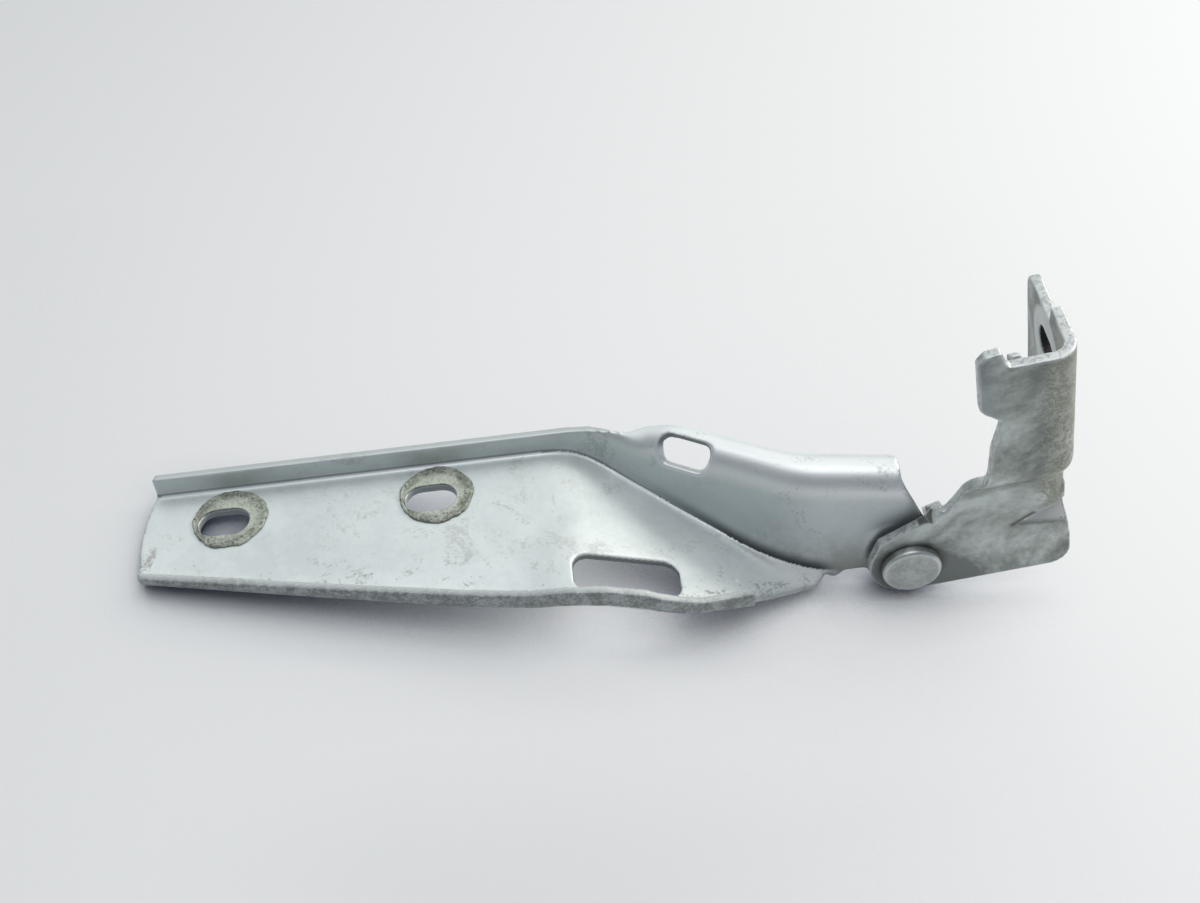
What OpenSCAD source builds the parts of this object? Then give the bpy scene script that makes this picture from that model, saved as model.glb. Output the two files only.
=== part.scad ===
// Bonnet hinge, left-hand: a pressed arm that bolts to the bonnet turns on a rivet in a
// bent bracket that bolts to the body. Millimetres.
// Arm frame: x runs along the web from its free end to the pivot, y along the pivot axis towards
// the straight edge, z up out of the web. The part's origin is midway between the two body slots.

/* [Arm web] */
// Thickness of the arm's sheet
arm_sheet = 2.5; // [2:0.1:3]
// Clear width of the web at its free end
web_end_w = 28.6; // [26:0.2:32]
// Angle by which the window edge spreads from the straight edge
web_spread = 11.8; // [9:0.2:13]
// Length of the web from its free end to its bend
web_bend_x = 109; // [104:0.5:112]
// Angle by which the web turns down past the bend
web_slope = 19; // [16:0.5:21]
// Height of the straight flange and of the lip's edge over the web
flange_h = 6.4; // [5.6:0.2:8]
// Height of the window rim at the free end
rim_h = 3.5; // [3.2:0.1:4.5]
// Inside radius of the fold under the rim
rim_fold_r = 2.5; // [2:0.25:2.75]
// Inside radius of the fold under the flange and the neck
foot_r = 4; // [3:0.25:4.5]
// Radius of the curved free end
free_end_r = 60; // [45:1:90]

/* [Bonnet slots] */
// Distance between the two slots
slot_pitch = 55; // [50:0.5:60]
// Distance from the free end to the first slot
slot_x = 19.4; // [16:0.2:24]
// Distance of the slots from the straight fold
slot_in = 12.1; // [10.5:0.1:14]
// Width of a slot
slot_w = 9; // [8.4:0.1:10]
// Length of a slot from end to end
slot_l = 13.5; // [11:0.5:16]

/* [Arm window] */
// Length of the window
window_l = 26.6; // [22:0.2:28]
// Width of the window
window_w = 12.4; // [10:0.2:13]
// Distance of the window's inner side from the straight fold
window_in = 35.6; // [35:0.1:37]
// Corner radius of the window
window_r = 4; // [3:0.25:5]

/* [Arm neck] */
// Distance from the free end to the point where the fold turns inwards
neck_x = 115.6; // [112:0.2:118]
// Angle of the neck to the straight edge
neck_angle = 34.6; // [32:0.2:37]
// Distance of the pivot wall inwards from the straight edge
wall_in = 33; // [31:0.2:35]
// Distance from the free end to the notch where the lip begins
notch_x = 130; // [128:0.5:132]
// Radius of the neck's rounded crest
crest_r = 6.2; // [5:0.1:6.6]
// Angle by which the lip's edge is turned down
lip_turn = 60; // [45:1:70]
// Length of the lip from the notch to its end
lip_l = 65.2; // [62:0.2:66]
// Length of the small slot through the neck
neck_slot_l = 13.2; // [10:0.2:15]
// Width of the small slot through the neck
neck_slot_w = 8; // [6:0.2:9]

/* [Pivot] */
// Distance of the pivot from the free end
pivot_x = 197.5; // [196:0.25:200]
// Depth of the pivot under the web
pivot_drop = 18.8; // [17.5:0.1:20]
// Radius of the arm's eye
arm_eye_r = 12; // [11.5:0.1:13]
// Diameter of the rivet's shank
shank_d = 10; // [9:0.1:10.4]
// Running clearance round the shank, on the radius
shank_clear = 0.05; // [0.02:0.01:0.1]
// Wall of the bush
bush_wall = 1; // [0.8:0.1:1.4]
// Diameter of the rivet's head
head_d = 15.6; // [14.4:0.2:17]
// Thickness of the rivet's head
head_t = 2.7; // [2.2:0.1:3.4]
// Edge rounding of the rivet's head
head_edge_r = 0.8; // [0.4:0.1:1]
// Diameter of the peened tail
tail_d = 14; // [13.2:0.2:15]
// Thickness of the peened tail
tail_t = 2; // [1.5:0.1:2.5]
// Outside diameter of the thrust washer
thrust_d = 17; // [15:0.2:19]
// Thickness of the thrust washer
thrust_t = 1.7; // [1.2:0.1:2.2]
// Outside diameter of the tail washer
tail_washer_d = 18; // [16:0.2:20]
// Thickness of the tail washer
tail_washer_t = 1.5; // [1:0.1:2]
// Play between faces that turn past each other
axial_play = 0.1; // [0.05:0.05:0.2]

/* [Body bracket] */
// Thickness of the bracket's sheet
bracket_sheet = 3; // [2.6:0.1:3.4]
// Radius of the bracket's eye
bracket_eye_r = 10.8; // [10:0.1:11.4]
// Distance of the bolting flange's face from the pivot
bracket_w = 41; // [39:0.5:44]
// Height of the bracket over the pivot
bracket_h = 74.1; // [72.5:0.1:78]
// Sideways step of the bracket's upper half
joggle = 7.8; // [6:0.2:9]
// Height of the step's lower crease over the pivot
joggle_z = 25.4; // [24:0.2:27]
// Height of the sloping part of the step
joggle_l = 9; // [8:0.2:11]
// Inside radius of the bend into the bolting flange
bend_r = 3; // [2:0.25:4]
// Lean of the bracket to the web with the arm against its stop
bracket_lean = 6.5; // [5:0.25:8]
// Gap between the stop tab and the arm
stop_gap = 0.4; // [0.3:0.05:0.8]

/* [Body slots] */
// Width of the two slots in the bracket
body_slot_w = 8.8; // [8.4:0.1:9.4]
// Length of the slots from end to end
body_slot_l = 14; // [12:0.5:15]
// Height of the lower slot over the pivot
body_low_z = 22.3; // [21.5:0.1:23]
// Height of the upper slot over the lower one
body_rise = 35.5; // [34.5:0.1:36]
// Distance of the lower slot inwards from the straight fold
body_low_in = 0.5; // [0:0.1:1.5]
// Distance between the slots along the pivot axis
body_step = 26; // [25:0.2:27]

/* [Hidden] */
$fn = 64;
steel = "#c3cbca";
bracket_steel = "#8d9590";
dark_steel = "#4a4f52";
brass = "#a98a4a";

// Length that cutters run past a face
over = 1;
big = 120;

// Shape of the arm along x
bend_blend = 5;
neck_blend = 5;
wall_blend = 12;
rim_level_x = web_bend_x - 0.5;
rim_level_blend = 9;
rim_return_x = web_bend_x + 28.5;
rim_return = 17.5;
rim_return_blend = 5;
rim_end_x = web_bend_x + 46.2;
rim_gap = 16;
web_tip_x = web_bend_x + 66.5;
neck_end_x = neck_x + wall_in / tan(neck_angle);
notch_half = 3;
flange_lean = 0.3;
flange_follow = 0.26;
flange_heading = 80;
notch_crest_r = 4.6;
crest_grow_l = 10;
lip_set_in = 1;
lip_angle = 28.8;
lip_relax = 0.69;
lip_turn_x = notch_x + 10;
lip_relax_x = notch_x + 39;
lip_blend = 6;
lip_end_x = notch_x + lip_l;

// Pivot stack along y, from the arm's wall outwards and inwards
wall_y = -wall_in;
wall_back_y = wall_y + arm_sheet;
eye_in_y = wall_y - axial_play - thrust_t;
eye_out_y = eye_in_y - bracket_sheet;
tail_washer_y = wall_back_y + axial_play;
tail_y = tail_washer_y + tail_washer_t;
bush_d = shank_d + 2 * shank_clear + 2 * bush_wall;

// Bracket points over the pivot, in the bracket's own lean
flange_in_x = bracket_w - bracket_sheet;
bracket_out_y = eye_out_y - joggle;
body_low_y = -body_low_in;
body_high_y = body_low_y - body_step;
body_high_z = body_low_z + body_rise;
ear_high_y = body_high_y + 17;
ear_high_z = body_high_z + 10.5;
ear_step_y = body_high_y - 3;
flange_low_z = body_low_z - 7.7;

// Middle of the body slots on the bolting face, in the arm frame
body_mid = pivot_point() + lean_point(bracket_w, (body_low_z + body_high_z) / 2);
origin = [body_mid[0], (body_low_y + body_high_y) / 2, body_mid[1]];

function pivot_point() = [pivot_x, -pivot_drop];
function lean_point(x, z) = [x * cos(bracket_lean) - z * sin(bracket_lean),
                             x * sin(bracket_lean) + z * cos(bracket_lean)];
function clamp(u) = max(0, min(1, u));
function ease(u) = let (c = clamp(u)) c * c * (3 - 2 * c);
// Zero before 0 and u after it, with a rounded corner of half-length r
function ramp(u, r) = u <= -r ? 0 : u >= r ? u : (u + r) * (u + r) / (4 * r);

// Height of the web, its two folds and the trimmed upper edge at x
function web_z(x) = -tan(web_slope) * ramp(x - web_bend_x, bend_blend);
function fold_y(x) = -tan(neck_angle) * (ramp(x - neck_x, neck_blend) - ramp(x - neck_end_x, wall_blend));
function rim_plan(x) = -web_end_w - tan(web_spread) * (x - ramp(x - rim_level_x, rim_level_blend))
                       + tan(rim_return) * ramp(x - rim_return_x, rim_return_blend);
function rim_y(x) = min(rim_plan(x), fold_y(x) - rim_gap);
function lip_y(x) = -lip_set_in - tan(lip_angle)
                    * (ramp(x - lip_turn_x, lip_blend) - lip_relax * ramp(x - lip_relax_x, lip_blend));
function lip_part(x) = ease((x - notch_x + notch_half) / (2 * notch_half));
function flange_y(x) = flange_lean + flange_follow * fold_y(x);
function edge_y(x) = (1 - lip_part(x)) * flange_y(x) + lip_part(x) * lip_y(x);
function edge_heading(x) = flange_heading - lip_part(x) * (flange_heading + lip_turn);
function crest_grown(x) = clamp((x - notch_x - notch_half) / crest_grow_l);
function crest(x) = notch_crest_r + (crest_r - notch_crest_r) * crest_grown(x);

// Height of the rim's fold and of its edge over the web, by distance past the web's bend
rim_rises = [[-109, 0.6], [-69, -0.9], [-24, -2.1], [-10, -1.3], [0, 0.2], [9, 1.7],
             [23, 1.3], [41, 0.4], [50, 0]];
rim_tops = [[-109, 0], [-50, -0.5], [-24, -0.3], [-10, 0.5], [2, 2.7], [9, 4.1], [19, 4.1], [21, 3.4],
            [28, 2.6], [33, 1.7], [46, 1.9]];
function rim_rise(x) = lookup(x - web_bend_x, rim_rises);
function rim_top(x) = rim_h + lookup(x - web_bend_x, rim_tops);

// Start of the crest for a wall that rises at angle b
function crest_start(x, b) = [edge_y(x) - crest(x) * (sin(b) - sin(edge_heading(x))),
                              flange_h - crest(x) * (cos(edge_heading(x)) - cos(b))];
function rise(from, to) = atan2(to[1] - from[1], to[0] - from[0]);

// Points along the upper face of the section at x, each with the direction to its back face
rim_apron = 11;
rim_steps = 4;
foot_steps = 5;
crest_steps = 8;
function section(x) =
    let (foot = [fold_y(x), web_z(x)],
         first = rise(foot, crest_start(x, 90)),
         top = crest_start(x, first),
         b = rise(foot, top),
         foot_c = [foot[0] - foot_r * tan(b / 2), foot[1] + foot_r],
         rim_c = [rim_y(x) + rim_fold_r, foot[1] + rim_fold_r + rim_rise(x)],
         r = crest(x),
         end_h = edge_heading(x))
    concat([[rim_y(x), foot[1] + rim_top(x), -1, 0]],
           [for (i = [0 : rim_steps]) let (a = 180 + 90 * i / rim_steps) on_circle(rim_c, rim_fold_r, a)],
           [[rim_y(x) + rim_apron, foot[1], 0, -1]],
           [for (i = [0 : foot_steps]) let (a = 270 + b * i / foot_steps) on_circle(foot_c, foot_r, a)],
           [for (i = [0 : crest_steps]) let (h = b + (end_h - b) * i / crest_steps)
               [top[0] + r * (sin(b) - sin(h)), top[1] + r * (cos(h) - cos(b)), sin(h), -cos(h)]]);
function on_circle(c, r, a) = [c[0] + r * cos(a), c[1] + r * sin(a), cos(a), sin(a)];

// A sheet through rows of points, each point given as [position, way to the back face]
module formed_sheet(rows, thickness) {
    n = len(rows);
    m = len(rows[0]);
    front = [for (row = rows) for (p = row) p[0]];
    back = [for (row = rows) for (p = row) p[0] + thickness * p[1]];
    k = n * m;
    polyhedron(
        points = concat(front, back),
        faces = concat(
            [for (i = [0 : n - 2]) for (j = [0 : m - 2]) let (a = i * m + j) each
                [[a, a + 1, a + m], [a + 1, a + m + 1, a + m]]],
            [for (i = [0 : n - 2]) for (j = [0 : m - 2]) let (a = k + i * m + j) each
                [[a, a + m, a + 1], [a + 1, a + m, a + m + 1]]],
            [for (i = [0 : n - 2]) let (a = i * m) each
                [[a, a + m, a + k], [a + m, a + m + k, a + k]]],
            [for (i = [0 : n - 2]) let (a = i * m + m - 1) each
                [[a, a + k, a + m], [a + m, a + k, a + m + k]]],
            [for (j = [0 : m - 2]) each [[j, j + k, j + 1], [j + 1, j + k, j + 1 + k]]],
            [for (j = [0 : m - 2]) let (a = (n - 1) * m + j) each
                [[a, a + 1, a + k], [a + 1, a + 1 + k, a + k]]]));
}

// Stations of the arm: far apart where it is straight, close where it is formed
station_step = 2.5;
notch_step = 1;
arm_start_x = -5;
arm_end_x = pivot_x + 7.5;
formed_x = web_bend_x - 12;
arm_stations = concat([arm_start_x, formed_x / 2],
                      [for (x = [formed_x : station_step : notch_x - notch_half - 0.1]) x],
                      [for (x = [notch_x - notch_half : notch_step : notch_x + notch_half]) x],
                      [for (x = [notch_x + notch_half + station_step : station_step : arm_end_x]) x]);
arm_rows = [for (x = arm_stations) [for (p = section(x)) [[x, p[0], p[1]], [0, p[2], p[3]]]]];

// A rectangle with rounded corners, from its lower left corner
module rounded_rect(l, w, r) {
    translate([r, 0]) square([l - 2 * r, w]);
    translate([0, r]) square([l, w - 2 * r]);
    for (x = [r, l - r])
        for (y = [r, w - r])
            translate([x, y]) circle(r);
}

// Moves its children from the arm frame to the part's frame
module in_place() {
    translate(-origin) children();
}

// Moves its children from the bracket's frame, centred on the pivot, to the part's frame
module on_bracket() {
    in_place() translate([pivot_x, 0, -pivot_drop]) rotate([0, -bracket_lean, 0]) children();
}

// A disc or tube along y, from y0 to y1
module along_y(r, y0, y1) {
    translate([0, y1, 0]) rotate([90, 0, 0]) cylinder(r = r, h = y1 - y0);
}

// A flat outline in x and z, extruded along y from y0 to y1
module outline_y(y0, y1) {
    translate([0, y1, 0]) rotate([90, 0, 0]) linear_extrude(y1 - y0) children();
}

// A slot with round ends, from its lower left corner
module slot_outline(l, w) {
    translate([w / 2, w / 2]) circle(w / 2);
    translate([l - w / 2, w / 2]) circle(w / 2);
    translate([w / 2, 0]) square([l - w, w]);
}

// The two slots for the bonnet's bolts
module bonnet_slots() {
    for (i = [0, 1])
        translate([slot_x + i * slot_pitch - slot_l / 2, -slot_in - slot_w / 2, -big / 2])
            linear_extrude(big) slot_outline(slot_l, slot_w);
}

// The window that straddles the bend
module arm_window() {
    translate([web_bend_x + 1, -window_in - window_w, -big / 2])
        linear_extrude(big) rounded_rect(window_l, window_w, window_r);
}

// The small slot through the start of the neck, square to its rounded face
neck_slot_at = [notch_x + 12.1, -13.3, 6.5];
neck_slot_yaw = -30;
neck_slot_tilt = 45;
neck_slot_r = 2;
module neck_slot() {
    translate(neck_slot_at) rotate([0, 0, neck_slot_yaw]) rotate([neck_slot_tilt, 0, 0])
        translate([-neck_slot_l / 2, -neck_slot_w / 2, -8])
            linear_extrude(16) rounded_rect(neck_slot_l, neck_slot_w, neck_slot_r);
}

// What is trimmed off outside the curved free end
free_end_bulge = 2.3;
module free_end_trim() {
    translate([free_end_r - free_end_bulge, -17, -big / 2]) linear_extrude(big) difference() {
        translate([-big, -big]) square([big, 2 * big]);
        circle(free_end_r, $fn = 128);
    }
}

// What is trimmed off past the rim's end, down to the tip of the web and the face of the wall
tip_side = 4.6;
module tip_trim() {
    rim_end_y = rim_y(rim_end_x) + 0.6;
    translate([0, 0, -big / 2]) linear_extrude(big) polygon([
        [rim_end_x, -big],
        [rim_end_x, rim_end_y],
        [web_tip_x - 2.5, wall_y - tip_side],
        [web_tip_x, wall_y - 0.6],
        [web_tip_x, wall_y],
        [pivot_x + big, wall_y],
        [pivot_x + big, -big]]);
}

// What is trimmed off under the wall, with the round relief beside the tip
wall_low_z = web_z(web_tip_x) - 1.6;
relief_r = 2.2;
module wall_low_trim() {
    translate([web_tip_x + relief_r, wall_y - over, wall_low_z - big])
        cube([big, big, big]);
    translate([web_tip_x + relief_r, 0, wall_low_z]) along_y(relief_r, wall_y - over, wall_back_y + over);
}

// The slanted end of the wall, from the lip's end down to the eye
wall_end_rise = 7;
wall_end_run = [9.1, 20];
module wall_end_trim() {
    outline_y(-big, big) polygon([
        [lip_end_x, big],
        [lip_end_x, wall_end_rise],
        [lip_end_x + wall_end_run[0], wall_end_rise - wall_end_run[1]],
        [pivot_x + big, wall_end_rise - wall_end_run[1]],
        [pivot_x + big, big]]);
}

// Radius of the flat seat for the tail washer on the wall's back
washer_seat_r = tail_washer_d / 2 + 1;
module bonnet_arm() {
    color(steel) in_place() difference() {
        union() {
            difference() {
                formed_sheet(arm_rows, arm_sheet);
                free_end_trim();
                bonnet_slots();
                arm_window();
                neck_slot();
                tip_trim();
                wall_low_trim();
                wall_end_trim();
            }
            translate([pivot_x, 0, -pivot_drop]) along_y(arm_eye_r, wall_y, wall_back_y);
        }
        translate([pivot_x, 0, -pivot_drop]) {
            along_y(bush_d / 2, wall_y - over, wall_back_y + over);
            along_y(washer_seat_r, wall_back_y, wall_back_y + big / 8);
        }
    }
}

// The bracket's sheet: a plate that turns through a bend into the bolting flange
bracket_bend_steps = 6;
joggle_blend = 3;
function bracket_y(z) = eye_out_y - joggle / joggle_l
                        * (ramp(z - joggle_z, joggle_blend) - ramp(z - joggle_z - joggle_l, joggle_blend));
outer_bend_r = bend_r + bracket_sheet;
function bracket_section(z) =
    let (c = [bracket_w - outer_bend_r, bracket_y(z) + outer_bend_r])
    concat([[[-2 * bracket_eye_r, bracket_y(z), z], [0, 1, 0]]],
           [for (i = [0 : bracket_bend_steps]) let (a = 270 + 90 * i / bracket_bend_steps)
               [[c[0] + outer_bend_r * cos(a), c[1] + outer_bend_r * sin(a), z], [-cos(a), -sin(a), 0]]],
           [[[bracket_w, body_low_y + 20, z], [-1, 0, 0]]]);
joggle_step = 1.5;
bracket_stations = concat([2 * bracket_h],
                          [for (z = [joggle_z + joggle_l + joggle_blend : -joggle_step
                                     : joggle_z - joggle_blend]) z],
                          [-2 * bracket_eye_r]);
bracket_rows = [for (z = bracket_stations) bracket_section(z)];

// Outline of the plate in x and z, round the eye, up the side and round the wing at its top
plate_low_z = -bracket_eye_r;
wing_low_z = bracket_h - 17.3;
module plate_outline() {
    circle(bracket_eye_r);
    polygon([
        [0, plate_low_z],
        [bracket_w, plate_low_z],
        [bracket_w, bracket_h],
        [24.3, bracket_h],
        [22.7, bracket_h + 5],
        [19.1, bracket_h + 4.5],
        [17.2, bracket_h + 2.3],
        [17.5, wing_low_z + 4.9],
        [18.6, wing_low_z + 3.4],
        [22.6, wing_low_z],
        [21.8, wing_low_z - 3.6],
        [20.2, joggle_z + 21.6],
        [19.4, joggle_z + 13],
        [17.8, joggle_z + 5.2],
        [14.6, joggle_z - 0.2],
        [13.4, joggle_z - 2.8],
        [10.4, 18.6],
        [-7.4, 9.7],
        [-9.6, 5]]);
}

// The plate's flat lower corner, past the end of the bend
corner_r = 6;
corner_x = bracket_w + 0.9;
corner_high_z = flange_low_z - 2.6;
module plate_corner() {
    outline_y(eye_out_y, eye_in_y) {
        translate([corner_x - corner_r, plate_low_z + corner_r]) circle(corner_r);
        polygon([
            [bracket_w - outer_bend_r - over, plate_low_z],
            [corner_x - corner_r, plate_low_z],
            [corner_x, plate_low_z + corner_r],
            [corner_x - 0.3, plate_low_z + corner_r + 6],
            [bracket_w - 0.6, corner_high_z],
            [bracket_w - outer_bend_r - over, corner_high_z]]);
    }
}

// Outline of the bolting flange in y and z, with its two ears
module flange_outline() {
    polygon([
        [-big, flange_low_z],
        [body_low_y, flange_low_z + 0.2],
        [body_low_y + 11.5, flange_low_z + 2.4],
        [body_low_y + 12.5, flange_low_z + 3.6],
        [body_low_y + 12.5, flange_low_z + 4.6],
        [body_low_y + 11.5, flange_low_z + 5.6],
        [body_low_y + 0.5, body_low_z + 6.4],
        [body_low_y - 5.5, body_low_z + 10.2],
        [ear_high_y, body_low_z + 14],
        [ear_high_y + 0.6, ear_high_z - 3],
        [ear_high_y - 0.6, ear_high_z - 0.8],
        [ear_high_y - 3, ear_high_z],
        [ear_step_y + 2, ear_high_z],
        [ear_step_y + 0.6, bracket_h - 0.8],
        [ear_step_y - 0.8, bracket_h],
        [-big, bracket_h]]);
}

// The pressed dart across the bend: a groove outside and a ridge inside
dart_low_z = flange_low_z - 7.5;
dart_high_z = flange_low_z + 4.5;
dart_tip_z = flange_low_z - 6.5;
dart_far_z = flange_low_z - 2;
dart_l = 14;
module dart_groove() {
    hull() {
        translate([bracket_w - dart_l, eye_out_y, dart_tip_z]) cube(0.1, center = true);
        translate([bracket_w, eye_out_y + dart_l - 2, dart_far_z]) cube(0.1, center = true);
        translate([bracket_w + 0.6, eye_out_y - 0.6, dart_low_z]) cube(0.1, center = true);
        translate([bracket_w + 0.6, eye_out_y - 0.6, dart_high_z]) cube(0.1, center = true);
    }
}
module dart_ridge() {
    hull() {
        translate([flange_in_x - dart_l - 1.5, eye_in_y, dart_tip_z]) cube(0.2, center = true);
        translate([flange_in_x, eye_in_y + dart_l - 2, dart_far_z + 1.5]) cube(0.2, center = true);
        translate([flange_in_x, eye_in_y, dart_low_z - 1]) cube(0.2, center = true);
        translate([flange_in_x, eye_in_y, dart_high_z + 1]) cube(0.2, center = true);
    }
}

// The stop tab: bent towards the arm, with its face along the wall's slanted end
stop_len = 5;
stop_wide = 5;
stop_along = 4.2;
function lean_local(p) = let (d = p - pivot_point(), c = cos(bracket_lean), k = sin(bracket_lean))
    [d[0] * c + d[1] * k, d[1] * c - d[0] * k];
wall_end_low = lean_local([lip_end_x + wall_end_run[0], wall_end_rise - wall_end_run[1]]);
wall_end_high = lean_local([lip_end_x, wall_end_rise]);
wall_end_angle = rise(wall_end_low, wall_end_high) - 90;
module stop_tab() {
    difference() {
        translate([wall_end_low[0], 0, wall_end_low[1]]) rotate([0, -wall_end_angle, 0])
            translate([stop_gap, eye_out_y, stop_along]) cube([stop_wide, wall_back_y - eye_out_y, stop_len]);
        along_y(arm_eye_r + stop_gap, eye_in_y, wall_back_y + over);
    }
}

module body_bracket() {
    color(bracket_steel) on_bracket() difference() {
        union() {
            difference() {
                intersection() {
                    formed_sheet(bracket_rows, bracket_sheet);
                    union() {
                        outline_y(-big, eye_in_y + outer_bend_r) plate_outline();
                        translate([bracket_w - outer_bend_r, 0, 0]) rotate([90, 0, 90])
                            linear_extrude(2 * outer_bend_r) flange_outline();
                    }
                }
                translate([bracket_w - outer_bend_r, -big, corner_high_z - big]) cube([big, 2 * big, big]);
            }
            plate_corner();
            dart_ridge();
            stop_tab();
        }
        dart_groove();
        along_y(shank_d / 2, eye_out_y - over, eye_in_y + over);
        for (p = [[body_low_y, body_low_z], [body_high_y, body_high_z]])
            translate([flange_in_x - over, p[0] - body_slot_l / 2, p[1] - body_slot_w / 2])
                rotate([90, 0, 90]) linear_extrude(bracket_sheet + 2 * over)
                    slot_outline(body_slot_l, body_slot_w);
    }
}

// The rivet: a flat head outside the bracket, a shank and a tail peened over the tail washer
module pivot_rivet() {
    color(bracket_steel) on_bracket() rotate([90, 0, 0]) rotate_extrude() difference() {
        polygon([
            [0, -tail_y - tail_t],
            [tail_d / 2 - 1, -tail_y - tail_t],
            [tail_d / 2, -tail_y - tail_t + 1],
            [tail_d / 2, -tail_y],
            [shank_d / 2, -tail_y],
            [shank_d / 2, -eye_out_y],
            [head_d / 2, -eye_out_y],
            [head_d / 2, head_t - eye_out_y - head_edge_r],
            [head_d / 2 - head_edge_r, head_t - eye_out_y],
            [0, head_t - eye_out_y]]);
    }
}

// A plain ring along y
module ring(d, bore, y0, y1) {
    difference() {
        along_y(d / 2, y0, y1);
        along_y(bore / 2, y0 - over, y1 + over);
    }
}

module pivot_bush() {
    color(brass) on_bracket() ring(bush_d, shank_d + 2 * shank_clear, wall_y, wall_back_y);
}

module thrust_washer() {
    color(dark_steel) on_bracket() ring(thrust_d, shank_d, eye_in_y, eye_in_y + thrust_t);
}

module tail_washer() {
    color(dark_steel) on_bracket()
        ring(tail_washer_d, shank_d, tail_washer_y, tail_washer_y + tail_washer_t);
}

bonnet_arm();
body_bracket();
pivot_rivet();
pivot_bush();
thrust_washer();
tail_washer();
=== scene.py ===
"""Bonnet hinge: a pressed gooseneck arm that turns on a riveted body bracket.

Lengths are millimetres. The arm's frame runs x along the web from its free end to the pivot,
y along the pivot axis towards the straight edge and z up out of the web. Finished pieces are
moved into the part's own frame, in metres.
"""

import logging
import math
from dataclasses import dataclass
from enum import Enum
from typing import Optional, Sequence

import bpy
import numpy as np
from mathutils import Matrix, Vector, noise


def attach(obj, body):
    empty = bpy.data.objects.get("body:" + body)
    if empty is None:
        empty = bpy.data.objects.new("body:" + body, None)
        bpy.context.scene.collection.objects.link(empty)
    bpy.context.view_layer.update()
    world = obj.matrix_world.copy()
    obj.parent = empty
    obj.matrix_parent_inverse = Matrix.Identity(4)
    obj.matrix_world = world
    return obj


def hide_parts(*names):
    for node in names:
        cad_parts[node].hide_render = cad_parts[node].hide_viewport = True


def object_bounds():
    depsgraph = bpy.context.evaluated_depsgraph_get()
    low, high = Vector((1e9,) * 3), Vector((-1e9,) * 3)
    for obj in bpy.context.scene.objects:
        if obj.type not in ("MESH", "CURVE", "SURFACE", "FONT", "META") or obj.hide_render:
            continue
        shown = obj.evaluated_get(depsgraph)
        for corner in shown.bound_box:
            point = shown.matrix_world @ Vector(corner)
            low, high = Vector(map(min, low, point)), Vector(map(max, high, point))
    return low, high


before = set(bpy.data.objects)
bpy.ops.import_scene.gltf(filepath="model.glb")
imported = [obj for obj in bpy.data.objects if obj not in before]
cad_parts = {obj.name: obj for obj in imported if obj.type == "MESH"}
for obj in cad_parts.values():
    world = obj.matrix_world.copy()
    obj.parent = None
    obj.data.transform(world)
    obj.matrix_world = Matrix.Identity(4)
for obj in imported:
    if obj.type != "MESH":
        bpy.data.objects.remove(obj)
FRAME_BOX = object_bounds()

log = logging.getLogger("bonnet_hinge")

Colour = tuple[float, float, float]
Point = tuple[float, float]
Piece = bpy.types.Object
Socket = bpy.types.NodeSocket

MILLIMETRE = 0.001
PART_ORIGIN = Vector((233.702657, -13.5, 25.633885))
PIVOT = Vector((197.5, 0.0, -18.8))
BRACKET_LEAN = 6.5
TO_PART = Matrix.Scale(MILLIMETRE, 4) @ Matrix.Translation(-PART_ORIGIN)
FROM_PIVOT = TO_PART @ Matrix.Translation(PIVOT)
FROM_BRACKET = FROM_PIVOT @ Matrix.Rotation(math.radians(-BRACKET_LEAN), 4, "Y")
FAR = 120.0
SLIVER = 0.001


class Side(Enum):
    """The two halves of the hinge, by the body that carries them."""

    BODY = "body_side"
    BONNET = "bonnet_side"


class Cut(Enum):
    """What a cutter does to the sheet it meets."""

    AWAY = "DIFFERENCE"
    JOIN = "UNION"
    KEEP = "INTERSECT"


def clear_selection() -> None:
    """Goes to object mode with nothing selected."""
    if bpy.context.object and bpy.context.object.mode != "OBJECT":
        bpy.ops.object.mode_set(mode="OBJECT")
    bpy.ops.object.select_all(action="DESELECT")


def take(obj: Piece) -> None:
    """Makes one object the only selected one.

    Args:
        obj: The object.
    """
    clear_selection()
    obj.select_set(True)
    bpy.context.view_layer.objects.active = obj


def finish_with(obj: Piece, kind: str, **settings: object) -> None:
    """Adds a modifier and applies it.

    Args:
        obj: The piece to change.
        kind: Blender's name for the modifier.
        settings: The modifier's values.
    """
    take(obj)
    modifier = obj.modifiers.new(kind.lower(), kind)
    for key, value in settings.items():
        setattr(modifier, key, value)
    bpy.ops.object.modifier_apply(modifier=modifier.name)


def corners(obj: Piece) -> np.ndarray:
    """Reads a mesh's corners.

    Args:
        obj: The piece.

    Returns:
        Rows of x, y, z.
    """
    found = np.empty(len(obj.data.vertices) * 3)
    obj.data.vertices.foreach_get("co", found)
    return found.reshape(-1, 3)


def facings(obj: Piece) -> np.ndarray:
    """Reads a mesh's corner normals.

    Args:
        obj: The piece.

    Returns:
        Rows of x, y, z.
    """
    found = np.empty(len(obj.data.vertices) * 3, np.float32)
    obj.data.vertex_normals.foreach_get("vector", found)
    return found.reshape(-1, 3).astype(float)


def set_corners(obj: Piece, points: np.ndarray) -> None:
    """Puts the mesh's corners at new places."""
    obj.data.vertices.foreach_set("co", np.ascontiguousarray(points, np.float32).ravel())
    obj.data.update()


def mark(obj: Piece, name: str, values: np.ndarray) -> None:
    """Keeps one number per corner as an attribute that the finishes read."""
    layer = obj.data.attributes.new(name, "FLOAT", "POINT")
    layer.data.foreach_set("value", np.ascontiguousarray(values, np.float32))


def ease(t: np.ndarray) -> np.ndarray:
    """Returns a smooth step from 0 to 1."""
    held = np.clip(t, 0.0, 1.0)
    return held * held * (3.0 - 2.0 * held)


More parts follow.
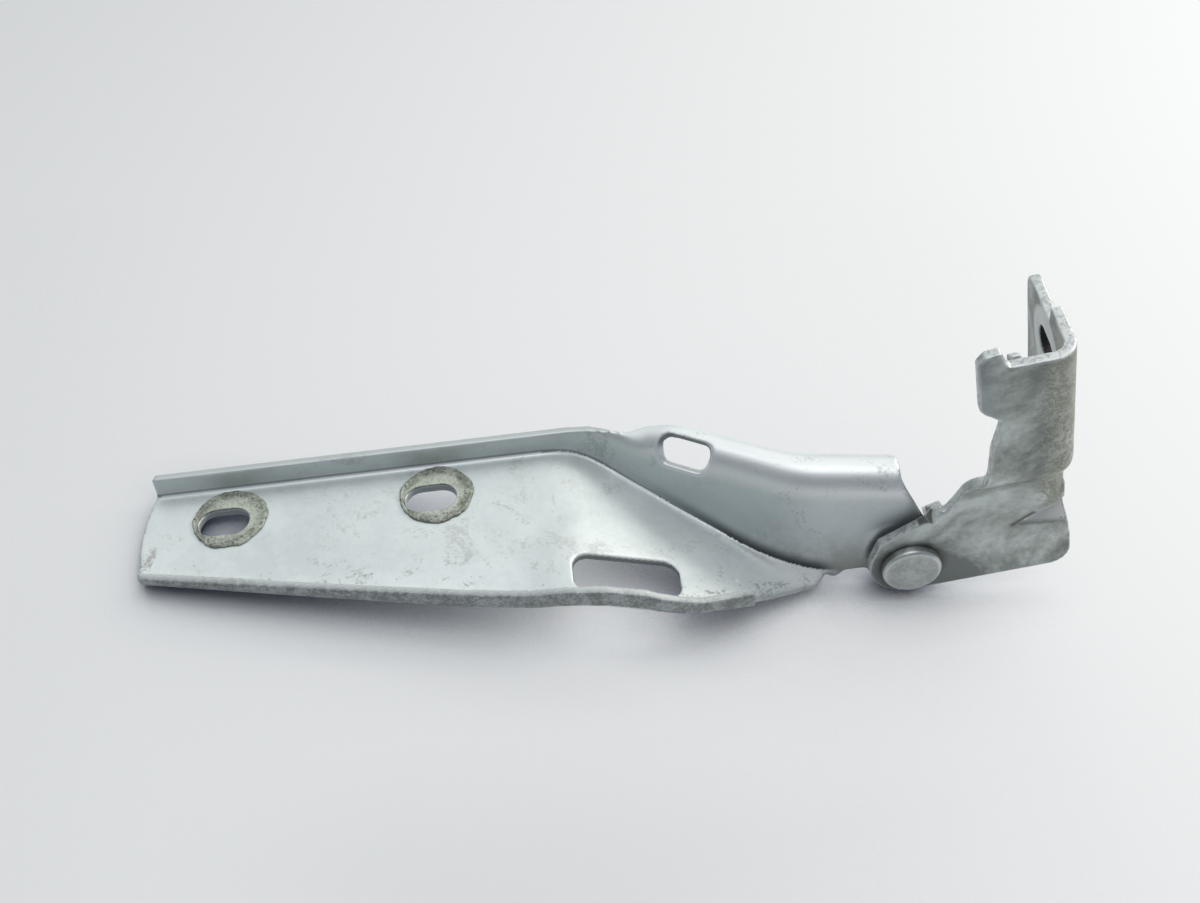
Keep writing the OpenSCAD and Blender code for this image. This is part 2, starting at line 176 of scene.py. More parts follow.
def ramp(u: float, r: float) -> float:
    """Bends a line up from zero with a rounded corner.

    Args:
        u: Place past the bend.
        r: Half the corner's length.

    Returns:
        Zero before the bend, and u after it.
    """
    if u <= -r:
        return 0.0
    return u if u >= r else (u + r) ** 2 / (4.0 * r)


def rounded_rect(length: float, width: float, radius: float, steps: int = 8) -> list[Point]:
    """Outline of a rectangle with round corners, about its middle.

    Args:
        length: Size along the first axis.
        width: Size along the second axis.
        radius: Corner radius.
        steps: Edges in each corner.

    Returns:
        The outline's points, anticlockwise.
    """
    points: list[Point] = []
    for turn, (sx, sy) in enumerate(((1, 1), (-1, 1), (-1, -1), (1, -1))):
        cx, cy = sx * (length / 2 - radius), sy * (width / 2 - radius)
        for step in range(steps + 1):
            a = math.radians(90 * (turn + step / steps))
            points.append((cx + radius * math.cos(a), cy + radius * math.sin(a)))
    return points


def set_out(name: str, points: Sequence[Sequence[float]]) -> Piece:
    """Names the primitive just added and puts its corners at points.

    Args:
        name: The object's name.
        points: A place for each corner.

    Returns:
        The piece.
    """
    obj = bpy.context.object
    obj.name = name
    for vertex, point in zip(obj.data.vertices, points):
        vertex.co = point
    return obj


def face_outwards(merge: float = 0.0) -> None:
    """Turns the active piece's faces outwards.

    Args:
        merge: Corners nearer than this are joined first.
    """
    bpy.ops.object.mode_set(mode="EDIT")
    bpy.ops.mesh.select_all(action="SELECT")
    if merge:
        bpy.ops.mesh.remove_doubles(threshold=merge)
        bpy.ops.mesh.select_all(action="SELECT")
    bpy.ops.mesh.normals_make_consistent(inside=False)
    bpy.ops.object.mode_set(mode="OBJECT")


def prism(name: str, outline: Sequence[Point], low: float, high: float,
          place: Optional[Matrix] = None, flare: Optional[Point] = None) -> Piece:
    """Raises an outline into a solid.

    Args:
        name: The object's name.
        outline: Points in x and y.
        low: Height of its lower face.
        high: Height of its upper face.
        place: Where it then goes.
        flare: How much longer and wider the upper face is than the lower one.

    Returns:
        The solid.
    """
    clear_selection()
    bpy.ops.mesh.primitive_circle_add(vertices=len(outline), radius=1.0, fill_type="NGON")
    obj = set_out(name, [(x, y, low) for x, y in outline])
    bpy.ops.object.mode_set(mode="EDIT")
    bpy.ops.mesh.select_all(action="SELECT")
    bpy.ops.mesh.extrude_region_move(TRANSFORM_OT_translate={"value": (0.0, 0.0, high - low)})
    if flare is not None:
        bpy.ops.transform.resize(value=(*flare, 1.0))
    face_outwards()
    if place is not None:
        obj.data.transform(place)
    return obj


def along_y(name: str, outline: Sequence[Point], y0: float, y1: float) -> Piece:
    """Raises an outline in x and z along y, from y0 to y1."""
    return prism(name, outline, -y1, -y0, Matrix.Rotation(math.radians(90), 4, "X"))


def along_x(name: str, outline: Sequence[Point], x0: float, x1: float) -> Piece:
    """Raises an outline in y and z along x, from x0 to x1."""
    axes = Matrix(((0, 0, 1, 0), (1, 0, 0, 0), (0, 1, 0, 0), (0, 0, 0, 1)))
    return prism(name, outline, x0, x1, axes)


def disc(radius: float, centre: Point = (0.0, 0.0), steps: int = 96) -> list[Point]:
    """Outline of a circle."""
    turn = [2 * math.pi * i / steps for i in range(steps)]
    return [(centre[0] + radius * math.cos(a), centre[1] + radius * math.sin(a)) for a in turn]


def wedge(name: str, points: Sequence[tuple[float, float, float]]) -> Piece:
    """Four-cornered solid for a pressed dart.

    Args:
        name: The object's name.
        points: Its four corners.

    Returns:
        The solid.
    """
    clear_selection()
    bpy.ops.mesh.primitive_cone_add(vertices=3, radius1=1.0, radius2=0.0, depth=1.0)
    obj = set_out(name, points)
    face_outwards()
    return obj


def combine(obj: Piece, tool: Piece, how: Cut) -> None:
    """Cuts, joins or keeps what a tool meets, and removes the tool."""
    finish_with(obj, "BOOLEAN", operation=how.value, object=tool, solver="MANIFOLD")
    bpy.data.objects.remove(tool, do_unlink=True)


def sheet_face(name: str, rows: np.ndarray) -> Piece:
    """Sets a grid's corners on a sheet's face.

    Args:
        name: The object's name.
        rows: Points by station and by place along the section.

    Returns:
        The open face.
    """
    stations, places = rows.shape[:2]
    clear_selection()
    bpy.ops.mesh.primitive_grid_add(x_subdivisions=stations - 1, y_subdivisions=places - 1,
                                    size=1.0)
    obj = bpy.context.object
    obj.name = name
    flat = corners(obj) + 0.5
    i = np.rint(flat[:, 0] * (stations - 1)).astype(int)
    j = np.rint(flat[:, 1] * (places - 1)).astype(int)
    set_corners(obj, rows[i, j])
    return obj


def even_path(path: np.ndarray, places: int) -> np.ndarray:
    """Spreads points evenly along a path.

    Args:
        path: Points in y and z.
        places: How many points to give.

    Returns:
        The evenly spread points.
    """
    run = np.concatenate([[0.0], np.cumsum(np.linalg.norm(np.diff(path, axis=0), axis=1))])
    at = np.linspace(0.0, run[-1], places)
    return np.column_stack([np.interp(at, run, path[:, k]) for k in range(2)])


def lathe(name: str, profile: Sequence[Point], steps: int = 128) -> Piece:
    """Spins a closed profile about the pivot axis.

    Args:
        name: The object's name.
        profile: Points as radius and y.
        steps: Edges round the turned piece.

    Returns:
        The turned piece.
    """
    clear_selection()
    bpy.ops.mesh.primitive_circle_add(vertices=len(profile), radius=1.0, fill_type="NOTHING")
    obj = set_out(name, [(r, y, 0.0) for r, y in profile])
    bpy.ops.object.mode_set(mode="EDIT")
    bpy.ops.mesh.select_all(action="SELECT")
    bpy.ops.mesh.spin(steps=steps, angle=2 * math.pi, center=(0, 0, 0), axis=(0, 1, 0))
    face_outwards(merge=0.001)
    return obj


def soften(obj: Piece, grain: float, passes: int) -> None:
    """Gives a cut sheet the rounded edges of a pressing.

    Args:
        obj: The closed sheet.
        grain: Size of the new faces.
        passes: How often the surface is smoothed.
    """
    finish_with(obj, "REMESH", mode="VOXEL", voxel_size=grain, adaptivity=0.0)
    finish_with(obj, "SMOOTH", factor=0.5, iterations=passes)
    take(obj)
    bpy.ops.object.shade_smooth()


class Tree:
    """Places and joins the nodes of one material or group."""

    def __init__(self, tree: bpy.types.NodeTree) -> None:
        """Starts on an empty node tree."""
        self.tree = tree
        self.tree.nodes.clear()

    def add(self, kind: str, inputs: Optional[dict] = None, **settings: object) -> bpy.types.Node:
        """Adds a node.

        Args:
            kind: Blender's name for the node.
            inputs: Values or sockets by the input's name or number.
            settings: The node's own choices.

        Returns:
            The node.
        """
        node = self.tree.nodes.new(kind)
        for key, value in settings.items():
            setattr(node, key, value)
        self.feed(node, inputs or {})
        return node

    def feed(self, node: bpy.types.Node, inputs: dict) -> None:
        """Joins sockets to a node's inputs, and sets those that are plain values.

        Args:
            node: The node.
            inputs: Values or sockets by the input's name or number.
        """
        for key, value in inputs.items():
            if isinstance(value, Socket):
                self.tree.links.new(value, node.inputs[key])
            else:
                node.inputs[key].default_value = value

    def math(self, how: str, a: object, b: object = 0.0, c: object = 0.0,
             clamp: bool = False) -> Socket:
        """Adds a sum and returns its result."""
        return self.add("ShaderNodeMath", {0: a, 1: b, 2: c}, operation=how,
                        use_clamp=clamp).outputs[0]

    def times(self, *factors: object) -> Socket:
        """Multiplies values.

        Args:
            factors: Values or sockets.

        Returns:
            Their product.
        """
        product, *others = factors
        for factor in others:
            product = self.math("MULTIPLY", product, factor)
        return product

    def plus(self, value: object, factor: object, base: object) -> Socket:
        """Returns a value times a factor, added to a base."""
        return self.math("MULTIPLY_ADD", value, factor, base)

    def spread(self, value: object, low: float, high: float, to_low: float = 0.0,
               to_high: float = 1.0) -> Socket:
        """Maps a value smoothly from one range to another.

        Args:
            value: The value or its socket.
            low: Where the first range starts.
            high: Where it ends.
            to_low: Where the second range starts.
            to_high: Where it ends.

        Returns:
            The mapped value.
        """
        return self.add("ShaderNodeMapRange", {"Value": value, "From Min": low, "From Max": high,
                                               "To Min": to_low, "To Max": to_high},
                        interpolation_type="SMOOTHSTEP").outputs["Result"]

    def band(self, value: object, rise: Point, fall: Point) -> Socket:
        """Returns the mask of a value between its rise and its fall."""
        return self.times(self.spread(value, *rise), self.spread(value, *fall))

    def scale(self, value: object, stops: Sequence[tuple[float, Colour]]) -> Socket:
        """Turns a value into a colour.

        Args:
            value: The value's socket.
            stops: Places and colours, in order.

        Returns:
            The colour.
        """
        node = self.add("ShaderNodeValToRGB", {"Fac": value})
        elements = node.color_ramp.elements
        while len(elements) < len(stops):
            elements.new(0.5)
        for element, (at, colour) in zip(elements, stops):
            element.position = at
            element.color = (*colour, 1.0)
        return node.outputs["Color"]


class Effect(Tree):
    """A shared surface effect: a node group with named inputs and one output."""

    def __init__(self, name: str, inputs: dict[str, float], output: str) -> None:
        """Makes the group and its sockets.

        Args:
            name: The group's name.
            inputs: Number inputs with their usual values; a Vector input is always there.
            output: Name of its number output.
        """
        super().__init__(bpy.data.node_groups.new(name, "ShaderNodeTree"))
        new_socket = self.tree.interface.new_socket
        new_socket("Vector", in_out="INPUT", socket_type="NodeSocketVector")
        for key, value in inputs.items():
            new_socket(key, in_out="INPUT", socket_type="NodeSocketFloat").default_value = value
        new_socket(output, in_out="OUTPUT", socket_type="NodeSocketFloat")
        self.socket = self.add("NodeGroupInput").outputs
        self.end = self.add("NodeGroupOutput")

    def give(self, value: Socket) -> bpy.types.NodeTree:
        """Joins the result to the output and returns the finished group."""
        self.tree.links.new(value, self.end.inputs[0])
        return self.tree

    def noise(self, scale: str, detail: float, rough: float = 0.55,
              **more: object) -> Socket:
        """Adds noise.

        Args:
            scale: The group's input that gives its scale.
            detail: Its octaves.
            rough: How much the fine octaves count.
            more: Its other inputs.

        Returns:
            The noise's value.
        """
        return self.add("ShaderNodeTexNoise",
                        {"Vector": self.socket["Vector"], "Scale": self.socket[scale],
                         "Detail": detail, "Roughness": rough, **more}).outputs["Fac"]


def mottle_effect() -> bpy.types.NodeTree:
    """Makes the cloudy tone of plated steel, coarse and fine together.

    Returns:
        The finished node group.
    """
    effect = Effect("plating_mottle", {"Coarse": 40.0, "Fine": 400.0, "Mix": 0.35}, "Tone")
    coarse = effect.noise("Coarse", 5.0, 0.6, Distortion=0.6)
    fine = effect.math("SUBTRACT", effect.noise("Fine", 4.0, 0.65), 0.5)
    both = effect.plus(fine, effect.socket["Mix"], coarse)
    return effect.give(effect.spread(both, 0.28, 0.72))


def smudge_effect() -> bpy.types.NodeTree:
    """Makes broken patches of handled grime and dried film.

    Returns:
        The finished node group.
    """
    effect = Effect("grime_smudge", {"Scale": 110.0, "Breakup": 900.0, "Cover": 0.55}, "Mask")
    patch = effect.noise("Scale", 6.0, 0.68, Distortion=0.9)
    broken = effect.math("SUBTRACT", effect.noise("Breakup", 3.0, 0.6), 0.5)
    over = effect.math("SUBTRACT", effect.plus(broken, 0.42, patch), effect.socket["Cover"])
    return effect.give(effect.math("MULTIPLY", over, 9.0, clamp=True))


def speck_effect() -> bpy.types.NodeTree:
    """Makes scattered small round specks and pits.

    Returns:
        The finished node group.
    """
    effect = Effect("pit_specks", {"Scale": 900.0, "Size": 0.3, "Cover": 0.6}, "Mask")
    socket = effect.socket
    cells = effect.add("ShaderNodeTexVoronoi", {"Vector": socket["Vector"],
                                                "Scale": socket["Scale"], "Randomness": 1.0})
    near = effect.math("SUBTRACT", socket["Size"], cells.outputs["Distance"])
    dots = effect.math("MULTIPLY", near, 8.0, clamp=True)
    pick = effect.add("ShaderNodeSeparateColor", {"Color": cells.outputs["Color"]}).outputs["Red"]
    return effect.give(effect.times(dots, effect.math("GREATER_THAN", pick, socket["Cover"])))


def rolling_effect() -> bpy.types.NodeTree:
    """Makes the fine lines that rolling leaves along a sheet, with a grainy plating over them.

    Returns:
        The finished node group.
    """
    effect = Effect("rolled_grain", {"Lines": 900.0, "Grain": 2400.0}, "Height")
    drawn = effect.add("ShaderNodeMapping", {"Vector": effect.socket["Vector"],
                                             "Scale": (0.05, 1.0, 1.0)})
    lines = effect.noise("Lines", 3.0, Vector=drawn.outputs["Vector"])
    grain = effect.noise("Grain", 2.0)
    return effect.give(effect.plus(lines, 0.6, effect.times(grain, 0.4)))


def edge_effect() -> bpy.types.NodeTree:
    """Finds the sharp outer edges and brightens them, partly as plating rubbed by handling and
    partly as a painted highlight.

    Returns:
        The finished node group.
    """
    effect = Effect("rubbed_edge_and_highlight", {"Low": 0.52, "High": 0.60, "Scale": 500.0}, "Mask")
    low, high = effect.socket["Low"], effect.socket["High"]
    point = effect.add("ShaderNodeNewGeometry").outputs["Pointiness"]
    ratio = effect.math("DIVIDE", effect.math("SUBTRACT", point, low),
                        effect.math("SUBTRACT", high, low), clamp=True)
    brightening = effect.spread(effect.noise("Scale", 3.0), 0.25, 0.6, 0.35, 1.0)
    return effect.give(effect.times(ratio, brightening))


class Effects:
    """The shared surface effects, each made once."""

    def __init__(self) -> None:
        """Makes every group."""
        self.mottle = mottle_effect()
        self.smudge = smudge_effect()
        self.specks = speck_effect()
        self.rolling = rolling_effect()
        self.edge = edge_effect()


class Coat(Tree):
    """A material's tree, with its shader and the colour laid on so far."""

    def __init__(self, name: str, plain: Colour) -> None:
        """Starts a material with its shader and output.

        Args:
            name: The material's name.
            plain: The colour shown in a plain viewport.
        """
        self.material = bpy.data.materials.new(name)
        self.material.use_nodes = True
        self.material.diffuse_color = (*plain, 1.0)
        super().__init__(self.material.node_tree)
        self.shader = self.add("ShaderNodeBsdfPrincipled")
        self.add("ShaderNodeOutputMaterial", {"Surface": self.shader.outputs["BSDF"]})
        self.colour: object = (*plain, 1.0)
        self.place: Optional[Socket] = None

    def read(self, name: str) -> Socket:
        """Returns a number that the piece keeps on its corners."""
        return self.add("ShaderNodeAttribute", attribute_name=name).outputs["Fac"]

    def effect(self, group: bpy.types.NodeTree, **inputs: object) -> Socket:
        """Spreads a shared effect over the piece.

        Args:
            group: The effect.
            inputs: Its values here.

        Returns:
            Its result.
        """
        if self.place is None:
            self.place = self.add("ShaderNodeTexCoord").outputs["Object"]
        return self.add("ShaderNodeGroup", node_tree=group,
                        inputs={"Vector": self.place, **inputs}).outputs[0]

    def lay(self, over: object, *shares: object) -> None:
        """Lays a colour over the rest.

        Args:
            over: The colour or its socket.
            shares: Masks whose product says how far it covers.
        """
        over = (*over, 1.0) if isinstance(over, tuple) else over
        layers = {0: self.times(*shares), 6: self.colour, 7: over}
        self.colour = self.add("ShaderNodeMix", layers, data_type="RGBA").outputs[2]

    def done(self, relief: object, strength: float, depth: float,
             **values: object) -> bpy.types.Material:
        """Joins the colour, the relief and other values to the shader.

        Args:
            relief: Height of the small relief.
            strength: How strongly it shows.
            depth: Its depth in metres.
            values: The shader's other inputs by name.

        Returns:
            The material.
        """
        bump = self.add("ShaderNodeBump", {"Height": relief, "Strength": strength,
                                           "Distance": depth})
        self.feed(self.shader, {"Base Color": self.colour, "Normal": bump.outputs["Normal"],
                                **values})
        return self.material


@dataclass(frozen=True)
class ArmFinish:
    """Satin zinc plating on the arm, smudged by handling, with painted shade and painted
    highlights.
    """

    name: str = "arm_zinc_plating"
    pale: Colour = (0.70, 0.75, 0.742)
    mid: Colour = (0.605, 0.655, 0.65)
    film: Colour = (0.36, 0.365, 0.34)
    # Mottled dark colour of the rim's outer side: grime with painted shade.
    rim_shade_and_grime: Colour = (0.25, 0.265, 0.26)
    sheared: Colour = (0.42, 0.45, 0.45)
    shaded: Colour = (0.13, 0.14, 0.145)
    # Painted shade colour for the wall above the fold.
    wall: Colour = (0.57, 0.625, 0.655)
    # Painted shade colour for the folds.
    fold: Colour = (0.075, 0.085, 0.09)
    # Bright colour for rubbed edges and for painted highlights.
    rub_and_highlight: Colour = (0.90, 0.92, 0.92)
    stain: Colour = (0.30, 0.31, 0.26)

    def make(self, effects: Effects) -> bpy.types.Material:
        """Builds the material.

        Args:
            effects: The shared surface effects.

        Returns:
            The material.
        """
        coat = Coat(self.name, self.pale)
        read, spread, times, plus = coat.read, coat.spread, coat.times, coat.plus
        near_rim, rim_side, neck, upper = map(read, ("near_rim", "rim_side", "neck", "upper"))
        off, slot_off, tip_light = map(read, ("fold_off", "slot_off", "tip_light"))
        tone = coat.effect(effects.mottle, Coarse=34.0, Fine=520.0, Mix=0.30)
        coat.colour = coat.scale(tone, ((0.15, self.mid), (0.85, self.pale)))
        # Painted shade: the wall above the fold, darker low down and along the neck.
        coat.lay(self.wall, read("wall_painted_shade"))
        # Painted highlight on the web's tip and along the neck's crest.
        coat.lay(self.rub_and_highlight, tip_light, 0.7)
        grime = coat.effect(effects.smudge, Scale=84.0, Breakup=1100.0, Cover=0.565)
        film = times(grime, spread(near_rim, 0.0, 1.0, 0.36, 0.90))
        coat.lay(self.film, film)
        specks = coat.effect(effects.specks, Scale=700.0, Size=0.26, Cover=0.86)
        speck = times(specks, spread(near_rim, 0.0, 1.0, 0.08, 0.55))
        coat.lay(self.stain, speck)
        # The rim's outer side, mottled dark: partly grime and partly painted shade on the side
        # turned from the light.
        rim_tone = coat.effect(effects.mottle, Coarse=260.0, Fine=1500.0, Mix=0.9)
        rim_share = times(rim_side, spread(rim_tone, 0.0, 1.0, 0.98, 0.45))
        coat.lay(self.rim_shade_and_grime, rim_share)
        coat.lay(self.sheared, read("sheared"), 0.7)
        # The wall near the pivot, darker towards its foot in the stain colour: partly painted shade
        # and partly olive stain.
        coat.lay(self.stain, read("low_wall_shade_and_stain"), spread(tone, 0.1, 0.9, 0.75, 0.25))
        # Painted shade on the cut walls of the window and past the eye.
        coat.lay(self.shaded, read("hole_wall_shade"))
        # Sharp edges brightened: partly rubbed plating, partly painted highlight.
        coat.lay(self.rub_and_highlight, coat.effect(effects.edge, Low=0.53, High=0.62, Scale=420.0), 0.75)
        # Painted light and shade on the neck slot's funnel: one wall lit bright, the other shaded
        # dark.
        brink = coat.scale(spread(read("slot_side"), -0.2, 0.5),
                           ((0.0, self.rub_and_highlight), (1.0, self.shaded)))
        coat.lay(brink, coat.band(slot_off, (-3.4, -3.0), (0.55, 0.15)), 0.75)
        # Painted highlight: a bright line on the web beside the fold.
        coat.lay(self.rub_and_highlight, coat.band(off, (-1.1, -0.7), (0.25, -0.1)), upper, 0.65)
        # Painted shade: a dark line in the fold's crease and a dark band on the wall above the
        # slanted fold.
        line = times(coat.band(off, (0.35, 0.6), (1.35, 0.9)), upper, 0.55)
        shade = times(coat.band(off, (0.2, 0.7), (5.0, 0.6)), read("fold_shade"))
        coat.lay(self.fold, coat.math("MAXIMUM", line, shade))
        bright_tip = times(tip_light, coat.math("SUBTRACT", 1.0, neck))
        metal = plus(bright_tip, -0.28, plus(neck, 0.22, 0.55))
        metal = plus(read("sloped_web"), -0.25, metal)
        rough = plus(film, 0.25, plus(neck, 0.03, plus(tone, 0.08, 0.43)))
        rough = plus(rim_side, 0.14, rough)
        grain = coat.effect(effects.rolling, Lines=1100.0, Grain=2600.0)
        relief = plus(rim_share, coat.math("SUBTRACT", tone, 0.5), plus(speck, -0.8, grain))
        return coat.done(relief, 0.16, 0.0003, Metallic=metal, Roughness=rough)


@dataclass(frozen=True)
class BracketFinish:
    """Dull, mottled zinc on the bracket, with corrosion along its bend, a painted highlight on the
    dart and painted shade at the tab, the dart's pocket and round the rivet.
    """

    name: str = "bracket_weathered_zinc"
    pale: Colour = (0.60, 0.645, 0.63)
    mid: Colour = (0.395, 0.43, 0.405)
    dark: Colour = (0.215, 0.24, 0.225)
    salt: Colour = (0.52, 0.525, 0.43)
    pit: Colour = (0.09, 0.09, 0.078)
    sheared: Colour = (0.68, 0.71, 0.71)
    shaded: Colour = (0.03, 0.03, 0.032)
    wing: Colour = (0.22, 0.25, 0.265)
    # Painted highlight colour for the dart's facet.
    dart: Colour = (0.86, 0.87, 0.84)
    rust: Colour = (0.36, 0.15, 0.05)
    washer_ring: Colour = (0.66, 0.68, 0.68)
    # Bright colour for rubbed edges and for painted highlights.
    rub_and_highlight: Colour = (0.82, 0.84, 0.83)

    def make(self, effects: Effects) -> bpy.types.Material:
        """Builds the material.

        Args:
            effects: The shared surface effects.

        Returns:
            The material.
        """
        coat = Coat(self.name, self.mid)
        read, spread, times, plus = coat.read, coat.spread, coat.times, coat.plus
        bend, dart, sheared = map(read, ("bend", "dart", "sheared"))
        tone = coat.effect(effects.mottle, Coarse=38.0, Fine=420.0, Mix=0.20)
        coat.colour = coat.scale(tone, ((0.15, self.dark), (0.5, self.mid), (0.85, self.pale)))
        coat.lay(self.wing, read("wing"), 0.55)
        crust = coat.effect(effects.smudge, Scale=300.0, Breakup=1300.0, Cover=0.47)
        salt = times(crust, spread(bend, 0.2, 0.8))
        coat.lay(self.salt, spread(bend, 0.40, 0.95, 0.0, 0.5))
        coat.lay(self.salt, salt, 0.8)
        brink = times(crust, 4.0, coat.math("SUBTRACT", 1.0, crust), spread(bend, 0.1, 0.7))
        specks = coat.effect(effects.specks, Scale=900.0, Size=0.30, Cover=0.90)
        pits = times(specks, spread(bend, 0.0, 0.8, 0.12, 0.55))
        pits = coat.math("MAXIMUM", pits, times(brink, 0.4))
        coat.lay(self.pit, pits)
        grime = coat.effect(effects.smudge, Scale=70.0, Breakup=500.0, Cover=0.62)
        coat.lay(self.dark, grime, 0.4)
        # Painted shade with grime in a ring round the rivet head.
        coat.lay(self.pit, read("rivet_ring_shade"), spread(tone, 0.0, 1.0, 0.85, 0.45))
        coat.lay(self.washer_ring, read("washer_ring"), 0.85)
        coat.lay(self.sheared, sheared, spread(tone, 0.1, 0.9, 0.95, 0.55))
        coat.lay(self.dark, sheared, times(crust, 0.55))
        coat.lay(self.shaded, read("slot_shade"))
        # Painted highlight: the dart's facet lit bright, broken by specks.
        coat.lay(self.dart, dart, spread(specks, 0.0, 1.0, 0.95, 0.1))
        # Painted shade on the stop tab's left face and in the dart's pocket, drawn in the pit
        # colour.
        coat.lay(self.pit, coat.math("MAXIMUM", read("tab_shade"), read("dart_pocket_shade")))
        coat.lay(self.rust, read("rust"), spread(tone, 0.0, 1.0, 1.0, 0.35))
        # Sharp edges brightened: partly rubbed plating, partly painted highlight.
        coat.lay(self.rub_and_highlight, coat.effect(effects.edge, Low=0.514, High=0.55, Scale=380.0), 0.85)
        metal = plus(coat.math("MAXIMUM", salt, dart), -0.4, 0.58)
        rough = plus(salt, 0.2, plus(tone, -0.10, 0.52))
        grain = coat.effect(effects.rolling, Lines=800.0, Grain=1900.0)
        relief = plus(salt, 0.8, plus(pits, -1.0, grain))
        return coat.done(relief, 0.25, 0.0003, Metallic=metal, Roughness=rough)


@dataclass(frozen=True)
class TurnedFinish:
    """Plated, oiled or bronze surface of a turned piece, with a painted highlight on its rim."""

    name: str
    pale: Colour
    dark: Colour
    # Bright colour for the painted highlight on the rim.
    rub_and_highlight: Colour
    roughness: float
    grime: float

    def make(self, effects: Effects) -> bpy.types.Material:
        """Builds the material.

        Args:
            effects: The shared surface effects.

        Returns:
            The material.
        """
        coat = Coat(self.name, self.pale)
        tone = coat.effect(effects.mottle, Coarse=150.0, Fine=900.0, Mix=0.6)
        coat.colour = coat.scale(tone, ((0.1, self.dark), (0.9, self.pale)))
        film = coat.effect(effects.smudge, Scale=190.0, Breakup=1400.0, Cover=0.58)
        coat.lay(self.dark, film, self.grime)
        # Painted highlight on the outer rim.
        coat.lay(self.rub_and_highlight, coat.read("rim_painted_highlight"), 0.5)
        rough = coat.plus(tone, 0.12, self.roughness)
        grain = coat.effect(effects.rolling, Lines=1500.0, Grain=2600.0)
        return coat.done(grain, 0.18, 0.0002, Metallic=0.9, Roughness=rough)


@dataclass(frozen=True)
class WaxFinish:
    """Dried cavity wax squeezed out round the bonnet washers."""

    name: str = "dried_wax"
    pale: Colour = (0.52, 0.56, 0.49)
    mid: Colour = (0.35, 0.375, 0.31)
    dark: Colour = (0.20, 0.215, 0.175)
    grit: Colour = (0.11, 0.11, 0.095)

    def make(self, effects: Effects) -> bpy.types.Material:
        """Builds the material.

        Args:
            effects: The shared surface effects.

        Returns:
            The material.
        """
        coat = Coat(self.name, self.pale)
        rim = coat.read("ring_rim")
        tone = coat.effect(effects.mottle, Coarse=230.0, Fine=1300.0, Mix=0.8)
        coat.colour = coat.scale(tone, ((0.0, self.mid), (0.6, self.pale)))
        coat.lay(self.dark, rim, coat.spread(tone, 0.1, 0.8, 0.95, 0.35))
        specks = coat.effect(effects.specks, Scale=1000.0, Size=0.42, Cover=0.55)
        grit = coat.times(specks, coat.spread(rim, 0.0, 1.0, 0.06, 0.75))
        coat.lay(self.grit, grit)
        rough = coat.plus(tone, 0.2, 0.45)
        return coat.done(coat.plus(grit, -0.6, tone), 0.5, 0.0004, Metallic=0.25, Roughness=rough)


class Finishes:
    """Every finish of the hinge, made once."""

    def __init__(self) -> None:
        """Makes the shared effects and the materials."""
        effects = Effects()
        self.arm = ArmFinish().make(effects)
        self.bracket = BracketFinish().make(effects)
        self.rivet = TurnedFinish("rivet_plated_steel", (0.52, 0.555, 0.535), (0.36, 0.385, 0.365),
                                  (0.80, 0.82, 0.81), 0.36, 0.5).make(effects)
        self.washer = TurnedFinish("washer_oiled_steel", (0.10, 0.105, 0.11), (0.035, 0.037, 0.04),
                                   (0.30, 0.31, 0.32), 0.42, 0.6).make(effects)
        self.bush = TurnedFinish("bush_bronze", (0.50, 0.33, 0.13), (0.26, 0.16, 0.07),
                                 (0.72, 0.52, 0.26), 0.34, 0.4).make(effects)
        self.wax = WaxFinish().make(effects)


def hand_over(obj: Piece, place: Matrix, material: bpy.types.Material, side: Side,
              node: Optional[str] = None) -> None:
    """Moves a finished piece into the part's frame, dresses it and joins it to its body.

    Args:
        obj: The piece, in millimetres.
        place: The way from its own frame to the part's.
        material: Its finish.
        side: The body that carries it.
        node: The CAD node that it stands for, where it has one.
    """
    obj.data.transform(place)
    obj.data.update()
    obj.data.materials.clear()
    obj.data.materials.append(material)
    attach(obj, side.value)
    if node:
        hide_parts(node)
    log.info("%s: %d faces", obj.name, len(obj.data.polygons))


